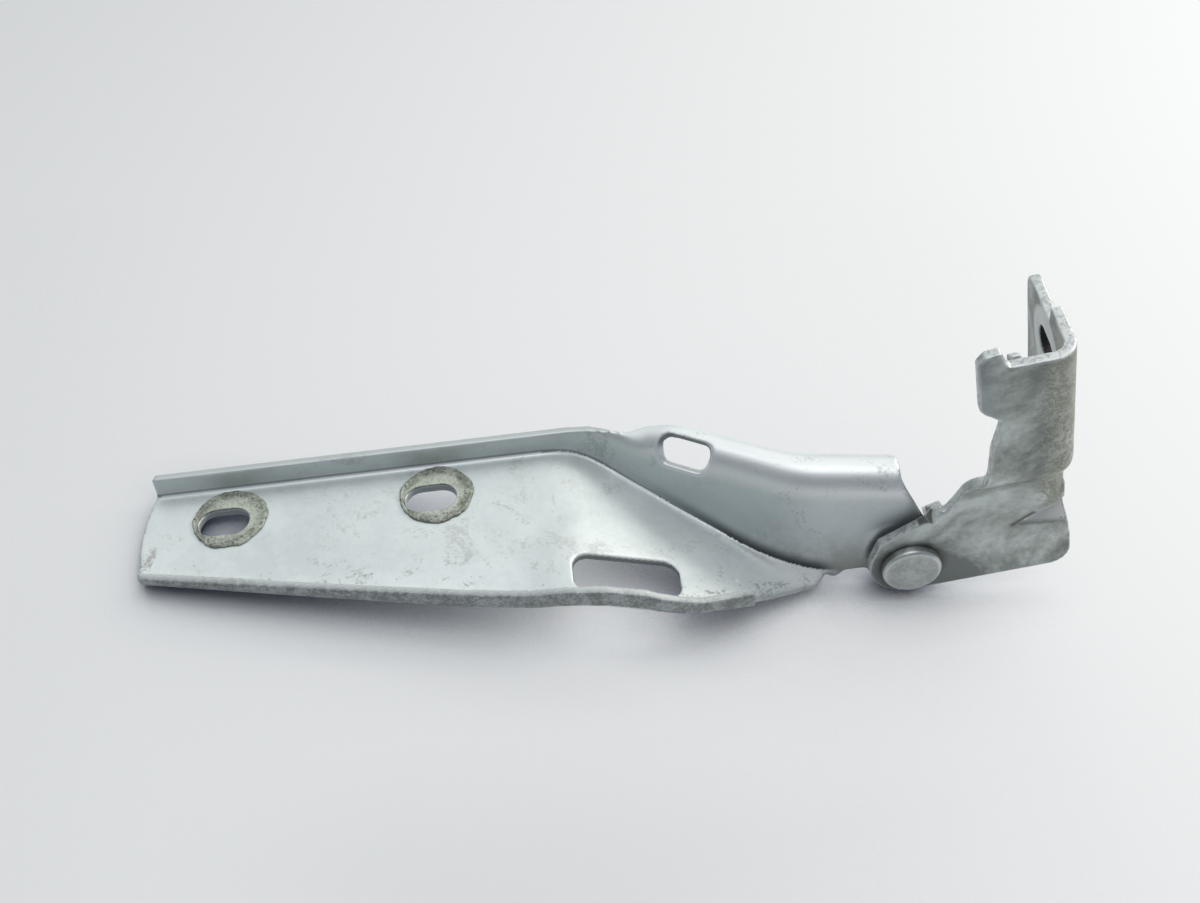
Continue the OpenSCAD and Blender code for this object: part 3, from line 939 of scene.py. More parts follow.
@dataclass
class BonnetArm:
    """The pressed arm: web, straight flange, window rim, gooseneck and pivot eye."""

    sheet: float = 2.5
    web_end_w: float = 28.6
    web_spread: float = 11.8
    web_bend_x: float = 109.0
    web_slope: float = 19.0
    flange_h: float = 6.4
    rim_h: float = 3.5
    rim_fold_r: float = 2.5
    foot_r: float = 1.4
    free_end_r: float = 60.0
    slot_x: float = 19.4
    slot_pitch: float = 55.0
    slot_in: float = 12.1
    slot_w: float = 9.0
    slot_l: float = 13.5
    window_l: float = 26.6
    window_w: float = 12.4
    window_in: float = 35.6
    window_r: float = 4.0
    window_from: float = 1.0
    window_seam: float = 0.7
    rim_back: float = 17.5
    rim_back_from: float = 28.5
    least_web: float = 16.0
    web_edge: float = 11.0
    free_end_x: float = -2.3
    free_end_y: float = -17.0
    rim_l: float = 46.2
    tip_l: float = 66.5
    lobe_r: float = 2.1
    mid_depth: float = 1.2
    rim_places: int = 14
    neck_from: float = 112.0
    low_from: float = 150.0
    eye_from: float = 187.0
    neck_x: float = 115.6
    neck_angle: float = 34.6
    wall_in: float = 33.0
    notch_x: float = 130.0
    crest_r: float = 6.2
    notch_crest_r: float = 4.6
    lip_turn: float = 60.0
    lip_l: float = 65.2
    lip_slant: float = 28.8
    lip_slant_x: Point = (10.0, 39.0)
    flange_lean: float = 80.0
    wall_end_l: float = 9.1
    wall_end_z: Point = (7.0, -13.0)
    step_h: float = 0.45
    step_x: Point = (121.0, 157.0)
    neck_slot_l: float = 14.4
    neck_slot_w: float = 8.8
    neck_slot_r: float = 3.0
    neck_slot_flare: float = 5.0
    eye_r: float = 12.0
    bore_r: float = 6.05
    seat_r: float = 10.0
    grain: float = 0.535
    first_x: float = -5.0
    last_x: float = 205.0
    station: float = 0.75
    places: int = 190

    @property
    def tip_x(self) -> float:
        """Returns where the web's tip ends."""
        return self.web_bend_x + self.tip_l

    def window_middle(self) -> Point:
        """Returns the window's middle in x and y."""
        return (self.web_bend_x + self.window_from + self.window_l / 2,
                -self.window_in - self.window_w / 2)

    def web_z(self, x: float) -> float:
        """Returns the web's height at x."""
        return -math.tan(math.radians(self.web_slope)) * ramp(x - self.web_bend_x, 5.0)

    def fold_y(self, x: float) -> float:
        """Follows the fold under the flange and the neck.

        Args:
            x: Place along the arm.

        Returns:
            Its y at x.
        """
        slant = math.tan(math.radians(self.neck_angle))
        end = self.neck_x + self.wall_in / slant
        return -slant * (ramp(x - self.neck_x, 5.0) - ramp(x - end, 12.0))

    def rim_y(self, x: float) -> float:
        """Follows the window rim.

        Args:
            x: Place along the arm.

        Returns:
            Its y at x.
        """
        out = math.tan(math.radians(self.web_spread)) * (x - ramp(x - self.web_bend_x + 0.5, 9.0))
        back = math.tan(math.radians(self.rim_back)) * ramp(
            x - self.web_bend_x - self.rim_back_from, 5.0)
        return min(-self.web_end_w - out + back, self.fold_y(x) - self.least_web)

    def rim_heights(self, x: float) -> tuple[float, float]:
        """Follows the rim's height over the web.

        Args:
            x: Place along the arm.

        Returns:
            The heights of its fold and of its edge.
        """
        past = x - self.web_bend_x
        rise = np.interp(past, (-109, -69, -24, -10, 0, 9, 23, 41, 50),
                         (0.6, -0.9, -2.1, -1.3, 0.2, 1.7, 1.3, 0.4, 0.0))
        top = np.interp(past, (-109, -50, -24, -10, 2, 9, 19, 21, 28, 33, 46),
                        (0.0, -0.5, -0.3, 0.5, 2.7, 4.1, 4.1, 3.4, 2.6, 1.7, 1.9))
        return float(rise), self.rim_h + float(top)

    def edge(self, x: float) -> tuple[float, float, float]:
        """Follows the sheet's upper edge.

        Args:
            x: Place along the arm.

        Returns:
            Its y, its heading and the crest's radius.
        """
        part = float(ease(np.array((x - self.notch_x + 3.0) / 6.0)))
        first, last = self.lip_slant_x
        lip = -1.0 - math.tan(math.radians(self.lip_slant)) * (
            ramp(x - self.notch_x - first, 6.0) - 0.69 * ramp(x - self.notch_x - last, 6.0))
        flange = 0.3 + 0.26 * self.fold_y(x)
        curl = float(ease(np.array((x - self.notch_x + 15.0) / 25.0)))
        heading = math.radians(self.flange_lean - curl * (self.flange_lean + self.lip_turn))
        grown = min(1.0, max(0.0, (x - self.notch_x - 3.0) / 10.0))
        crest = self.notch_crest_r + (self.crest_r - self.notch_crest_r) * grown
        return (1 - part) * flange + part * lip, heading, crest

    def section(self, x: float) -> np.ndarray:
        """Path of the arm's upper face across the sheet.

        Args:
            x: Place along the arm.

        Returns:
            Evenly spread points in y and z, from the rim's edge to the flange's or lip's edge.
        """
        web, fold, rim = self.web_z(x), self.fold_y(x), self.rim_y(x)
        rim_rise, rim_top = self.rim_heights(x)
        edge_y, end, r = self.edge(x)

        def crest_start(b: float) -> tuple[float, float]:
            """Returns where the crest begins on a wall that rises at angle b."""
            return (edge_y - r * (math.sin(b) - math.sin(end)),
                    self.flange_h - r * (math.cos(end) - math.cos(b)))

        def rise(to: tuple[float, float]) -> float:
            """Returns the wall's angle from its foot to a point."""
            return math.atan2(to[1] - web, to[0] - fold)

        top = crest_start(rise(crest_start(math.pi / 2)))
        b = rise(top)
        rim_a = np.linspace(math.pi, 1.5 * math.pi, 17)
        foot_a = np.linspace(1.5 * math.pi, 1.5 * math.pi + b, 25)
        crest_h = np.linspace(b, end, 33)
        foot_c = fold - self.foot_r * math.tan(b / 2)
        rim_arc = np.column_stack([rim + self.rim_fold_r * (1 + np.cos(rim_a)),
                                   web + rim_rise + self.rim_fold_r * (1 + np.sin(rim_a))])
        foot_arc = np.column_stack([foot_c + self.foot_r * np.cos(foot_a),
                                    web + self.foot_r * (1 + np.sin(foot_a))])
        crest = np.column_stack([top[0] + r * (math.sin(b) - np.sin(crest_h)),
                                 top[1] + r * (np.cos(crest_h) - math.cos(b))])
        path = np.vstack([[(rim, web + rim_top)], rim_arc, [(rim + self.web_edge, web)],
                          foot_arc, crest])
        return even_path(path, self.places)

    def step_height(self, x: float, y: np.ndarray) -> np.ndarray:
        """Raises the pressed step beside the slanted fold.

        Args:
            x: Place along the arm.
            y: Places across it.

        Returns:
            The step's height at each y.
        """
        line = np.interp(x, (116.0, 124.7, 133.5, 144.1, 158.4, 166.0),
                         (-2.9, -7.6, -13.2, -21.5, -32.6, -38.0))
        first, last = self.step_x
        along = float(ease(np.array((x - first) / 4.0))
                      * (1.0 - ease(np.array((x - last) / 7.0))))
        return self.step_h * along * ease((y - line) / 0.7) * (1.0 - ease((y - line - 0.9) / 3.0))

    def face(self) -> np.ndarray:
        """Lays out the sheet's upper face.

        Returns:
            Its points by station and by place along the section.
        """
        rows = []
        for x in np.arange(self.first_x, self.last_x + 0.01, self.station):
            path = self.section(float(x))
            lifted = path[:, 1] + self.step_height(float(x), path[:, 0])
            rows.append(np.column_stack([np.full(self.places, x), path[:, 0], lifted]))
        return np.array(rows)

    def neck_frame(self) -> Matrix:
        """Places the slot through the start of the neck.

        Returns:
            Its middle and lean.
        """
        return (Matrix.Translation((self.notch_x + 11.3, -13.0, 6.5))
                @ Matrix.Rotation(math.radians(-30), 4, "Z")
                @ Matrix.Rotation(math.radians(45), 4, "X"))

    def cutters(self) -> list[Piece]:
        """Makes the tools for the slots, the window and the trimmed edges.

        Returns:
            The tools, in order.
        """

        def through(name: str, outline: Sequence[Point], x: float = 0.0,
                    y: float = 0.0) -> Piece:
            """Returns a tool that goes through the web at x and y."""
            return prism(name, outline, -FAR / 2, FAR / 2, Matrix.Translation((x, y, 0.0)))

        slot = rounded_rect(self.slot_l, self.slot_w, self.slot_w / 2 - SLIVER, 20)
        tools = [through("slot_tool", slot, self.slot_x + i * self.slot_pitch, -self.slot_in)
                 for i in (0, 1)]
        window = rounded_rect(self.window_l, self.window_w, self.window_r, 14)
        tools.append(through("window_tool", window, *self.window_middle()))
        flare = self.neck_slot_flare
        length, width = self.neck_slot_l - flare, self.neck_slot_w - flare
        tools.append(prism("neck_slot_tool", rounded_rect(length, width, 1.3, 10), -6.0, 4.0,
                           self.neck_frame(), (1.0 + 11.0 / length, 1.0 + 11.0 / width)))
        r, middle = self.free_end_r, (self.free_end_r + self.free_end_x, self.free_end_y)
        end = [(middle[0] + r * math.cos(a), middle[1] + r * math.sin(a))
               for a in map(math.radians, np.linspace(125, 235, 60))]
        tools.append(through("free_end_tool", [*end, (-30.0, end[-1][1]), (-30.0, end[0][1])]))
        rim_end, tip, wall = self.web_bend_x + self.rim_l, self.tip_x, -self.wall_in
        tools.append(through("tip_tool", [
            (rim_end, -FAR), (rim_end, self.rim_y(rim_end) + 0.6), (tip - 2.5, wall - 4.6),
            (tip, wall - 0.6), (tip, wall), (PIVOT.x + FAR, wall), (PIVOT.x + FAR, -FAR)]))
        low = self.web_z(tip) - 1.6
        tools.append(along_y("wall_low_tool", [
            (tip + 2.2, low - FAR), (FAR * 3, low - FAR), (FAR * 3, low), (tip + 2.2, low)],
            wall - 1.0, FAR))
        lip_end, (high, low) = self.notch_x + self.lip_l, self.wall_end_z
        tools.append(along_y("wall_end_tool", [
            (lip_end, FAR), (lip_end, high), (lip_end + self.wall_end_l, low),
            (PIVOT.x + FAR, low), (PIVOT.x + FAR, FAR)], -FAR, FAR))
        return tools

    def seat_eye(self, obj: Piece) -> None:
        """Flattens the two faces of the pivot eye after smoothing.

        Args:
            obj: The arm, still in millimetres.
        """
        points = corners(obj)
        reach = np.hypot(points[:, 0] - PIVOT.x, points[:, 2] - PIVOT.z)
        front, back = -self.wall_in, -self.wall_in + self.sheet
        eye = reach < self.seat_r + 1.5
        points[eye, 1] = np.clip(points[eye, 1], front, back)
        wide = (points[:, 0] > self.web_bend_x + 70.0) & (points[:, 1] < front)
        points[wide, 1] = front
        bore = (reach < self.bore_r + 0.5) & (reach > 1.0)
        out = np.maximum(reach, self.bore_r)
        for axis, middle in ((0, PIVOT.x), (2, PIVOT.z)):
            points[bore, axis] = middle + (points[bore, axis] - middle) * (out / reach)[bore]
        set_corners(obj, points)

    def mark_faces(self, obj: Piece, face: np.ndarray) -> None:
        """Keeps what the finish reads: sheared edges, rim, folds, wall, neck, slot and holes, with
        the masks of painted shade and painted highlights.

        Args:
            obj: The finished arm, still in millimetres.
            face: The upper face's points by station.
        """
        points, facing = corners(obj), facings(obj)
        x, y, z = points.T
        normal = np.cross(np.gradient(face, axis=0), np.gradient(face, axis=1))
        normal /= np.linalg.norm(normal, axis=2, keepdims=True)
        row = np.rint((x - self.first_x) / self.station)
        row = np.clip(row, 0, len(face) - 1).astype(int)
        turned, rim_side, upper = np.zeros((3, len(points)))
        for i in np.unique(row):
            mine = np.flatnonzero(row == i)
            gap = points[mine, None, 1:] - face[i, None, :, 1:]
            j = np.argmin((gap ** 2).sum(axis=2), axis=1)
            here = normal[i, j]
            turned[mine] = 1.0 - np.abs((facing[mine] * here).sum(axis=1))
            depth = ((face[i, j] - points[mine]) * here).sum(axis=1)
            rim_side[mine] = (depth > self.mid_depth) & (j < self.rim_places)
            upper[mine] = depth < self.mid_depth
        rim, fold, web = (np.array([line(float(at)) for at in x])
                          for line in (self.rim_y, self.fold_y, self.web_z))
        sheared = ease((turned - 0.35) / 0.4)
        mark(obj, "sheared", sheared)
        mark(obj, "rim_side", rim_side * (x < self.web_bend_x + self.rim_l + 1.8))
        mark(obj, "near_rim", 1.0 - ease((y - rim - 1.0) / 17.0))
        # Painted shade with olive stain, low on the wall near the pivot.
        low = ease((x - self.low_from) / 25.0) * (1.0 - ease((z - web - 3.0) / 15.0))
        mark(obj, "low_wall_shade_and_stain", low * (y > fold - 1.0))
        wall = z - web > fold - y
        off = np.hypot(0.9 * (y - fold), z - web) * np.where(wall, 1.0, -1.0)
        on_web, on_neck = ease((0.6 - off) / 1.2), ease((x - self.neck_from) / 16.0)
        mark(obj, "fold_off", np.clip(off, -12.0, 12.0))
        mark(obj, "upper", upper * (1.0 - ease((x - 172.0) / 6.0)))
        mark(obj, "fold_shade", upper * ease((x - 122.0) / 32.0) * (1.0 - ease((x - 174.0) / 8.0)))
        mark(obj, "sloped_web", upper * on_web * ease((x - self.web_bend_x + 6.0) / 14.0))
        # Painted shade on the wall above the fold, deeper low down and along the neck.
        low_side = ease((off + 0.2) / 1.0) * ease((4.0 - z) / 9.0)
        mark(obj, "wall_painted_shade", (0.36 + 0.14 * on_neck) * upper * low_side)
        # Painted highlight on the web's tip and along the neck's crest.
        tip = on_web * ease((x - self.low_from) / 20.0) * ease((y - fold + 12.0) / 8.0)
        crest = ease(off / 2.0) * ease((x - 118.0) / 20.0) * ease((z - 0.5) / 4.0)
        mark(obj, "tip_light", upper * np.maximum(tip, crest))
        mark(obj, "neck", upper * ease(off / 1.5) * on_neck)
        # Where the neck slot's funnel lies, for its painted light and shade.
        slot = self.neck_frame()
        own = (points - np.array(slot.translation)) @ np.array(slot.inverted().to_3x3()).T
        r = self.neck_slot_r
        straight = (self.neck_slot_l / 2 - r, self.neck_slot_w / 2 - r)
        over = np.maximum(np.abs(own[:, :2]) - straight, 0.0)
        out = np.hypot(over[:, 0], over[:, 1]) - r
        mark(obj, "slot_off", np.where(abs(own[:, 2]) < 5.0, np.clip(out, -4.0, 4.0), 4.0))
        mark(obj, "slot_side", np.clip(own[:, 1] / 4.0, -1.5, 1.5))
        # Painted shade on the cut walls of the window and past the eye.
        middle = self.window_middle()
        hole = ((abs(x - middle[0]) < self.window_l / 2 + self.window_seam)
                & (abs(y - middle[1]) < self.window_w / 2 + self.window_seam))
        mark(obj, "hole_wall_shade", 0.85 * sheared * (hole | (x > self.eye_from)))

    def build(self) -> Piece:
        """Presses, cuts and smooths the arm.

        Returns:
            The finished piece, still in millimetres.
        """
        face = self.face()
        obj = sheet_face("gooseneck_arm", face)
        finish_with(obj, "SOLIDIFY", thickness=self.sheet, offset=-1.0)
        for tool in self.cutters():
            combine(obj, tool, Cut.AWAY)
        wall, back, hub = -self.wall_in, -self.wall_in + self.sheet, (PIVOT.x, PIVOT.z)
        lobe = (self.tip_x + 3.0, self.web_z(self.tip_x) - 1.5)
        for name, outline, near, far, how in (
                ("eye", disc(self.eye_r, hub), wall, back, Cut.JOIN),
                ("lobe", disc(self.lobe_r, lobe, 40), wall, back, Cut.JOIN),
                ("bore", disc(self.bore_r, hub), wall - 1.0, back + 1.0, Cut.AWAY),
                ("seat", disc(self.seat_r, hub), back, 0.0, Cut.AWAY)):
            combine(obj, along_y(name, outline, near, far), how)
        soften(obj, self.grain, 5)
        self.seat_eye(obj)
        self.mark_faces(obj, face)
        return obj

    def dress(self, obj: Piece, finishes: Finishes) -> None:
        """Gives the arm its finish and its body."""
        hand_over(obj, TO_PART, finishes.arm, Side.BONNET, "bonnet_arm")


@dataclass
class WaxRing:
    """A ring of dried wax that a bonnet washer left round its slot."""

    name: str
    arm: BonnetArm
    slot_x: float
    seed: float = 0.0
    shift_x: float = 1.45
    shift_y: float = 1.2
    outer_r: float = 9.75
    turns: int = 220
    rings: int = 18

    def inner_reach(self, a: float) -> float:
        """Measures the slot from its middle.

        Args:
            a: Direction in radians.

        Returns:
            The distance to its edge.
        """
        r, half = self.arm.slot_w / 2, (self.arm.slot_l - self.arm.slot_w) / 2
        c, s = abs(math.cos(a)), abs(math.sin(a))
        if s > 1e-6 and r / s * c <= half:
            return r / s
        return half * c + math.sqrt(max(0.0, r * r - (half * s) ** 2))

    def outer_reach(self, way: Vector) -> float:
        """Measures the ring from the slot's middle.

        Args:
            way: Direction, of length 1.

        Returns:
            The distance to its uneven edge.
        """
        shift = Vector((self.shift_x, self.shift_y))
        dot = shift.dot(way)
        rough = noise.noise(Vector((2.2 * way.x + self.seed, 2.2 * way.y, 0.3))) * 0.5
        rough += noise.noise(Vector((9.0 * way.x, 9.0 * way.y + self.seed, 1.7))) * 0.22
        inside = max(0.0, dot * dot - shift.length_squared + self.outer_r ** 2)
        return dot + math.sqrt(inside) + rough

    def web_height(self, y: float) -> float:
        """Follows the web up into its fold.

        Args:
            y: Place across the web.

        Returns:
            The height there.
        """
        r = self.arm.foot_r
        past = min(max(0.0, y + 0.9 * r), r * 0.98)
        return r - math.sqrt(r ** 2 - past ** 2)

    def thickness(self, x: float, y: float, t: float) -> float:
        """Shapes the dried wax.

        Args:
            x: Place along the web.
            y: Place across it.
            t: Share of the way from the slot to the ring's edge.

        Returns:
            The wax's thickness.
        """
        lump = noise.noise(Vector((x * 0.9, y * 0.9, self.seed))) * 0.5 + 0.5
        lump += 0.6 * noise.noise(Vector((x * 2.3, y * 2.3, self.seed + 4.0)))
        ridge, lip = math.exp(-((t - 0.86) / 0.10) ** 2), math.exp(-(t / 0.10) ** 2)
        height = 0.10 + 0.13 * lump + 0.20 * ridge * (0.6 + lump) + 0.12 * lip
        return max(height * min(1.0, (1.0 - t) / 0.08), 0.0)

    def build(self) -> Piece:
        """Lays the ring on the web.

        Returns:
            The ring, still in millimetres.
        """
        slot_y = -self.arm.slot_in
        rows = np.zeros((self.turns + 1, self.rings, 3))
        for i in range(self.turns + 1):
            a = 2 * math.pi * (i % self.turns) / self.turns
            way = Vector((math.cos(a), math.sin(a)))
            inner = self.inner_reach(a) + 0.1
            outer = max(self.outer_reach(way), inner + 0.5)
            for j in range(self.rings):
                t = j / (self.rings - 1)
                reach = inner + (outer - inner) * t
                x, y = self.slot_x + way.x * reach, slot_y + way.y * reach
                rows[i, j] = (x, y, self.web_height(y) + self.thickness(x, y, t) + 0.02)
        obj = sheet_face(self.name, rows)
        finish_with(obj, "SOLIDIFY", thickness=0.25, offset=-1.0)
        take(obj)
        face_outwards(merge=0.0005)
        bpy.ops.object.shade_smooth()
        x, y, _ = corners(obj).T
        reach = np.hypot(x - self.slot_x - self.shift_x, y - slot_y - self.shift_y)
        mark(obj, "ring_rim", ease((reach - self.outer_r + 3.3) / 1.6))
        return obj

    def dress(self, obj: Piece, finishes: Finishes) -> None:
        """Gives the ring its finish and its body."""
        hand_over(obj, TO_PART, finishes.wax, Side.BONNET)


@dataclass
class BodyBracket:
    """The bent bracket: plate with the pivot eye, joggle, wing, dart and slotted flange."""

    sheet: float = 3.0
    eye_r: float = 10.8
    width: float = 41.0
    height: float = 74.1
    joggle: float = 7.8
    joggle_z: float = 25.4
    joggle_l: float = 9.0
    bend_r: float = 3.0
    eye_out_y: float = -37.8
    eye_in_y: float = -34.8
    bore_r: float = 5.0
    slot_w: float = 8.8
    slot_l: float = 14.0
    low_slot: Point = (-0.5, 22.3)
    high_slot: Point = (-26.5, 57.8)
    arm_eye_r: float = 12.0
    arm_end: tuple[Point, Point] = ((204.3, -13.0), (195.2, 7.0))
    dart_l: float = 14.6
    dart_z: float = 8.2
    corner_r: float = 6.0
    tab_side: float = 5.0
    tab_from: float = 4.2
    places: int = 180
    stop_gap: float = 0.4
    grain: float = 0.42

    def outer_y(self, z: float) -> float:
        """Follows the plate's outer face through the joggle.

        Args:
            z: Height over the pivot.

        Returns:
            Its y.
        """
        slope = self.joggle / self.joggle_l
        past = z - self.joggle_z
        return self.eye_out_y - slope * (ramp(past, 3.0) - ramp(past - self.joggle_l, 3.0))

    def face(self) -> np.ndarray:
        """Lays out the sheet's outer face.

        Returns:
            Its points by height and by place along the bent section.
        """
        outer = self.bend_r + self.sheet
        a = np.radians(np.linspace(270, 360, 25))
        rows = []
        for z in np.arange(self.height + 7.0, -self.eye_r - 3.0, -0.75):
            y = self.outer_y(float(z))
            bend = np.column_stack([self.width - outer + outer * np.cos(a),
                                    y + outer + outer * np.sin(a)])
            path = np.vstack([[(-2 * self.eye_r, y)], bend, [(self.width, 20.0)]])
            even = even_path(path, self.places)
            rows.append(np.column_stack([even[:, 0], even[:, 1], np.full(self.places, z)]))
        return np.array(rows)

    def plate_outline(self) -> list[Point]:
        """Draws the plate past the eye and round the wing.

        Returns:
            Its outline in x and z.
        """
        top, wing, step = self.height, self.height - 17.3, self.joggle_z
        return [(0.0, -self.eye_r), (self.width, -self.eye_r), (self.width, top), (24.3, top),
                (22.7, top + 5.0), (19.1, top + 4.5), (17.2, top + 2.3), (17.5, wing + 4.9),
                (18.6, wing + 3.4), (22.6, wing), (21.8, wing - 3.6), (20.2, step + 21.6),
                (19.4, step + 13.0), (17.8, step + 5.2), (14.6, step - 0.2), (13.4, step - 2.8),
                (10.4, 18.6), (-7.4, 9.7), (-9.6, 5.0)]

    def flange_outline(self) -> list[Point]:
        """Draws the bolting flange with its two ears.

        Returns:
            Its outline in y and z.
        """
        (y, z), top, step = self.low_slot, self.height, self.high_slot[0] - 3.0
        low, ear_y, ear_z = z - 7.7, self.high_slot[0] + 17.0, self.high_slot[1] + 10.5
        return [(-FAR, low), (y, low + 0.2), (y + 11.5, low + 2.4), (y + 12.5, low + 3.6),
                (y + 12.5, low + 4.6), (y + 11.5, low + 5.6), (y + 0.5, z + 6.4),
                (y - 5.5, z + 10.2), (ear_y, z + 14.0), (ear_y + 0.6, ear_z - 3.0),
                (ear_y - 0.6, ear_z - 0.8), (ear_y - 3.0, ear_z), (step + 2.0, ear_z),
                (step + 0.6, top - 0.8), (step - 0.8, top), (-FAR, top)]

    def stop_tab(self) -> Piece:
        """Makes the bent stop tab, cleared from the arm's eye.

        Returns:
            The tab.
        """
        lean = math.radians(BRACKET_LEAN)

        def local(x: float, z: float) -> Vector:
            """Moves a point of the arm into the bracket's own lean.

            Args:
                x: Place along the arm.
                z: Height over the web.

            Returns:
                The point from the pivot.
            """
            dx, dz = x - PIVOT.x, z - PIVOT.z
            return Vector((dx * math.cos(lean) + dz * math.sin(lean),
                           dz * math.cos(lean) - dx * math.sin(lean)))

        low, high = (local(*end) for end in self.arm_end)
        along = (high - low).normalized()
        off = Vector((along.y, -along.x))
        start, side = low + off * self.stop_gap + along * self.tab_from, self.tab_side
        block = [start, start + off * side, start + off * side + along * side, start + along * side]
        tab = along_y("stop_tab", [tuple(p) for p in block], self.eye_out_y, self.eye_in_y + 4.3)
        clear = disc(self.arm_eye_r + self.stop_gap)
        combine(tab, along_y("clearance", clear, self.eye_in_y, 0.0), Cut.AWAY)
        return tab

    def tools(self) -> list[tuple[Piece, Cut]]:
        """Makes what is pressed on and cut out of the bent sheet.

        Returns:
            Each tool and what it does, in order.
        """
        out_y, in_y, low = self.eye_out_y, self.eye_in_y, -self.eye_r
        cut_x, in_x = self.width - self.bend_r - self.sheet, self.width - self.sheet
        ridge_x, far_x, far_y = self.width - 0.3, self.width + 0.6, out_y - 0.6
        corner_x, corner_z = self.width + 0.9, self.low_slot[1] - 10.3
        r = self.corner_r
        arc = [(corner_x - r + r * math.sin(a), low + r - r * math.cos(a))
               for a in np.radians(np.linspace(0, 90, 12))]
        below = [(cut_x, -FAR), (FAR, -FAR), (FAR, corner_z), (cut_x, corner_z)]
        corner = [(cut_x - 1.0, low), *arc, (corner_x - 0.3, low + 12.0),
                  (self.width - 0.6, corner_z), (cut_x - 1.0, corner_z)]
        ridge = [(in_x - 15.5, in_y, 8.1), (ridge_x, in_y - 1.0, 3.6),
                 (ridge_x, in_y - 1.0, 20.1), (ridge_x, in_y + 6.0, 12.9)]
        fold = [(4.0, out_y + 1.0, 17.6), (6.4, out_y - 1.7, 14.7),
                (10.8, out_y + 0.8, 18.0), (6.8, out_y + 0.8, 22.2)]
        groove = [(self.width - self.dart_l, out_y, self.dart_z), (far_x, far_y, 5.0),
                  (far_x, far_y, 16.6), (far_x, out_y + 4.6, 11.4)]
        slot = rounded_rect(self.slot_l, self.slot_w, self.slot_w / 2 - SLIVER, 20)
        slots = [along_x("body_slot", [(y + u, z + v) for u, v in slot], in_x - 1.0,
                         self.width + 1.0) for y, z in (self.low_slot, self.high_slot)]
        bore = along_y("bore", disc(self.bore_r), out_y - 1.0, in_y + 1.0)
        return [(along_y("corner_tool", below, -FAR, FAR), Cut.AWAY),
                (along_y("flat_corner", corner, out_y, in_y), Cut.JOIN),
                (wedge("dart_ridge", ridge), Cut.JOIN), (self.stop_tab(), Cut.JOIN),
                (wedge("stop_fold", fold), Cut.JOIN), (wedge("dart_groove", groove), Cut.AWAY),
                (bore, Cut.AWAY), *((tool, Cut.AWAY) for tool in slots)]

    def build(self) -> Piece:
        """Bends, cuts and smooths the bracket.

        Returns:
            The finished piece, still in millimetres about the pivot.
        """
        outer = self.bend_r + self.sheet
        obj = sheet_face("joggled_bracket", self.face())
        finish_with(obj, "SOLIDIFY", thickness=self.sheet, offset=-1.0, use_even_offset=True)
        back = self.eye_in_y + outer
        keep = along_y("plate_keep", self.plate_outline(), -FAR, back)
        combine(keep, along_y("eye_keep", disc(self.eye_r), -FAR, back), Cut.JOIN)
        flange = along_x("flange_keep", self.flange_outline(), self.width - outer,
                         self.width + outer)
        combine(keep, flange, Cut.JOIN)
        combine(obj, keep, Cut.KEEP)
        for tool, how in self.tools():
            combine(obj, tool, how)
        soften(obj, self.grain, 6)
        self.seat_eye(obj)
        self.mark_faces(obj)
        return obj

    def seat_eye(self, obj: Piece) -> None:
        """Flattens the eye's two faces after smoothing.

        Args:
            obj: The bracket, still in millimetres about the pivot.
        """
        points = corners(obj)
        reach = np.hypot(points[:, 0], points[:, 2])
        eye = reach < self.eye_r + 0.5
        points[eye, 1] = np.clip(points[eye, 1], self.eye_out_y, None)
        inner = eye & (points[:, 1] > self.eye_in_y) & (points[:, 1] < self.eye_in_y + 0.4)
        points[inner, 1] = self.eye_in_y
        set_corners(obj, points)

    def mark_faces(self, obj: Piece) -> None:
        """Keeps what the finish reads: edges, corrosion, rust, dart, shade and washer marks, with
        the masks of the dart's painted highlight and of painted shade at the tab, the dart's pocket
        and the rivet.

        Args:
            obj: The bracket, still in millimetres about the pivot.
        """
        points, facing = corners(obj), facings(obj)
        (x, y, z), (face_x, face_y, face_z) = points.T, facing.T
        outer = self.bend_r + self.sheet
        out_y = np.array([self.outer_y(float(at)) for at in z])
        flange = x > self.width - outer
        plate = (x < self.width - outer) | (y < out_y + 1.0)
        bend = flange & (y < out_y + outer)
        step = np.abs(z - self.joggle_z - self.joggle_l / 2) < self.joggle_l
        across = np.where(plate, np.abs(face_y), np.abs(face_x))
        across = np.where(bend, np.hypot(face_x, face_y), across)
        across = np.where(step & ~bend & plate, np.hypot(face_y, face_z), across)
        sheared = ease((1.0 - across - 0.35) / 0.35)
        mark(obj, "sheared", sheared)
        rise = 0.45 + 0.55 * ease((z - 2.0) / 25.0)
        flat = 1.0 - 0.65 * ease((y - out_y - outer) / 10.0)
        mark(obj, "bend", ease((x - self.width + 14.0) / 11.0) * rise * flat)
        to_low, to_high = (np.hypot(y - slot[0], z - slot[1])
                           for slot in (self.low_slot, self.high_slot))
        mark(obj, "washer_ring", flange * (face_x < -0.6) * (1.0 - ease((to_high - 10.5) / 1.2)))
        mark(obj, "rust", (1.0 - ease((to_low - 4.7) / 1.2)) * sheared * flange)
        mark(obj, "slot_shade", (1.0 - ease((to_high - 7.2) / 0.6)) * sheared * flange)
        mark(obj, "wing", ease((25.0 - x) / 6.0) * ease((z - 52.0) / 8.0) * (1.0 - sheared))
        # Painted highlight on the dart's facet that faces the front.
        share = np.clip((x - self.width + self.dart_l) / self.dart_l, 0.0, 1.1)
        low, high = self.dart_z - 2.6 * share, self.dart_z + 8.0 * share
        front = (y > self.eye_out_y - 0.4) * (y < self.eye_in_y + 3.0) * (face_y < 0.2)
        pressed = front * (y > self.eye_out_y + 0.12) * (share > 0.02)
        mark(obj, "dart", ease((z - low) / 1.5) * ease((high - z) / 0.6) * pressed
             * ease((0.5 - face_x) / 0.35))
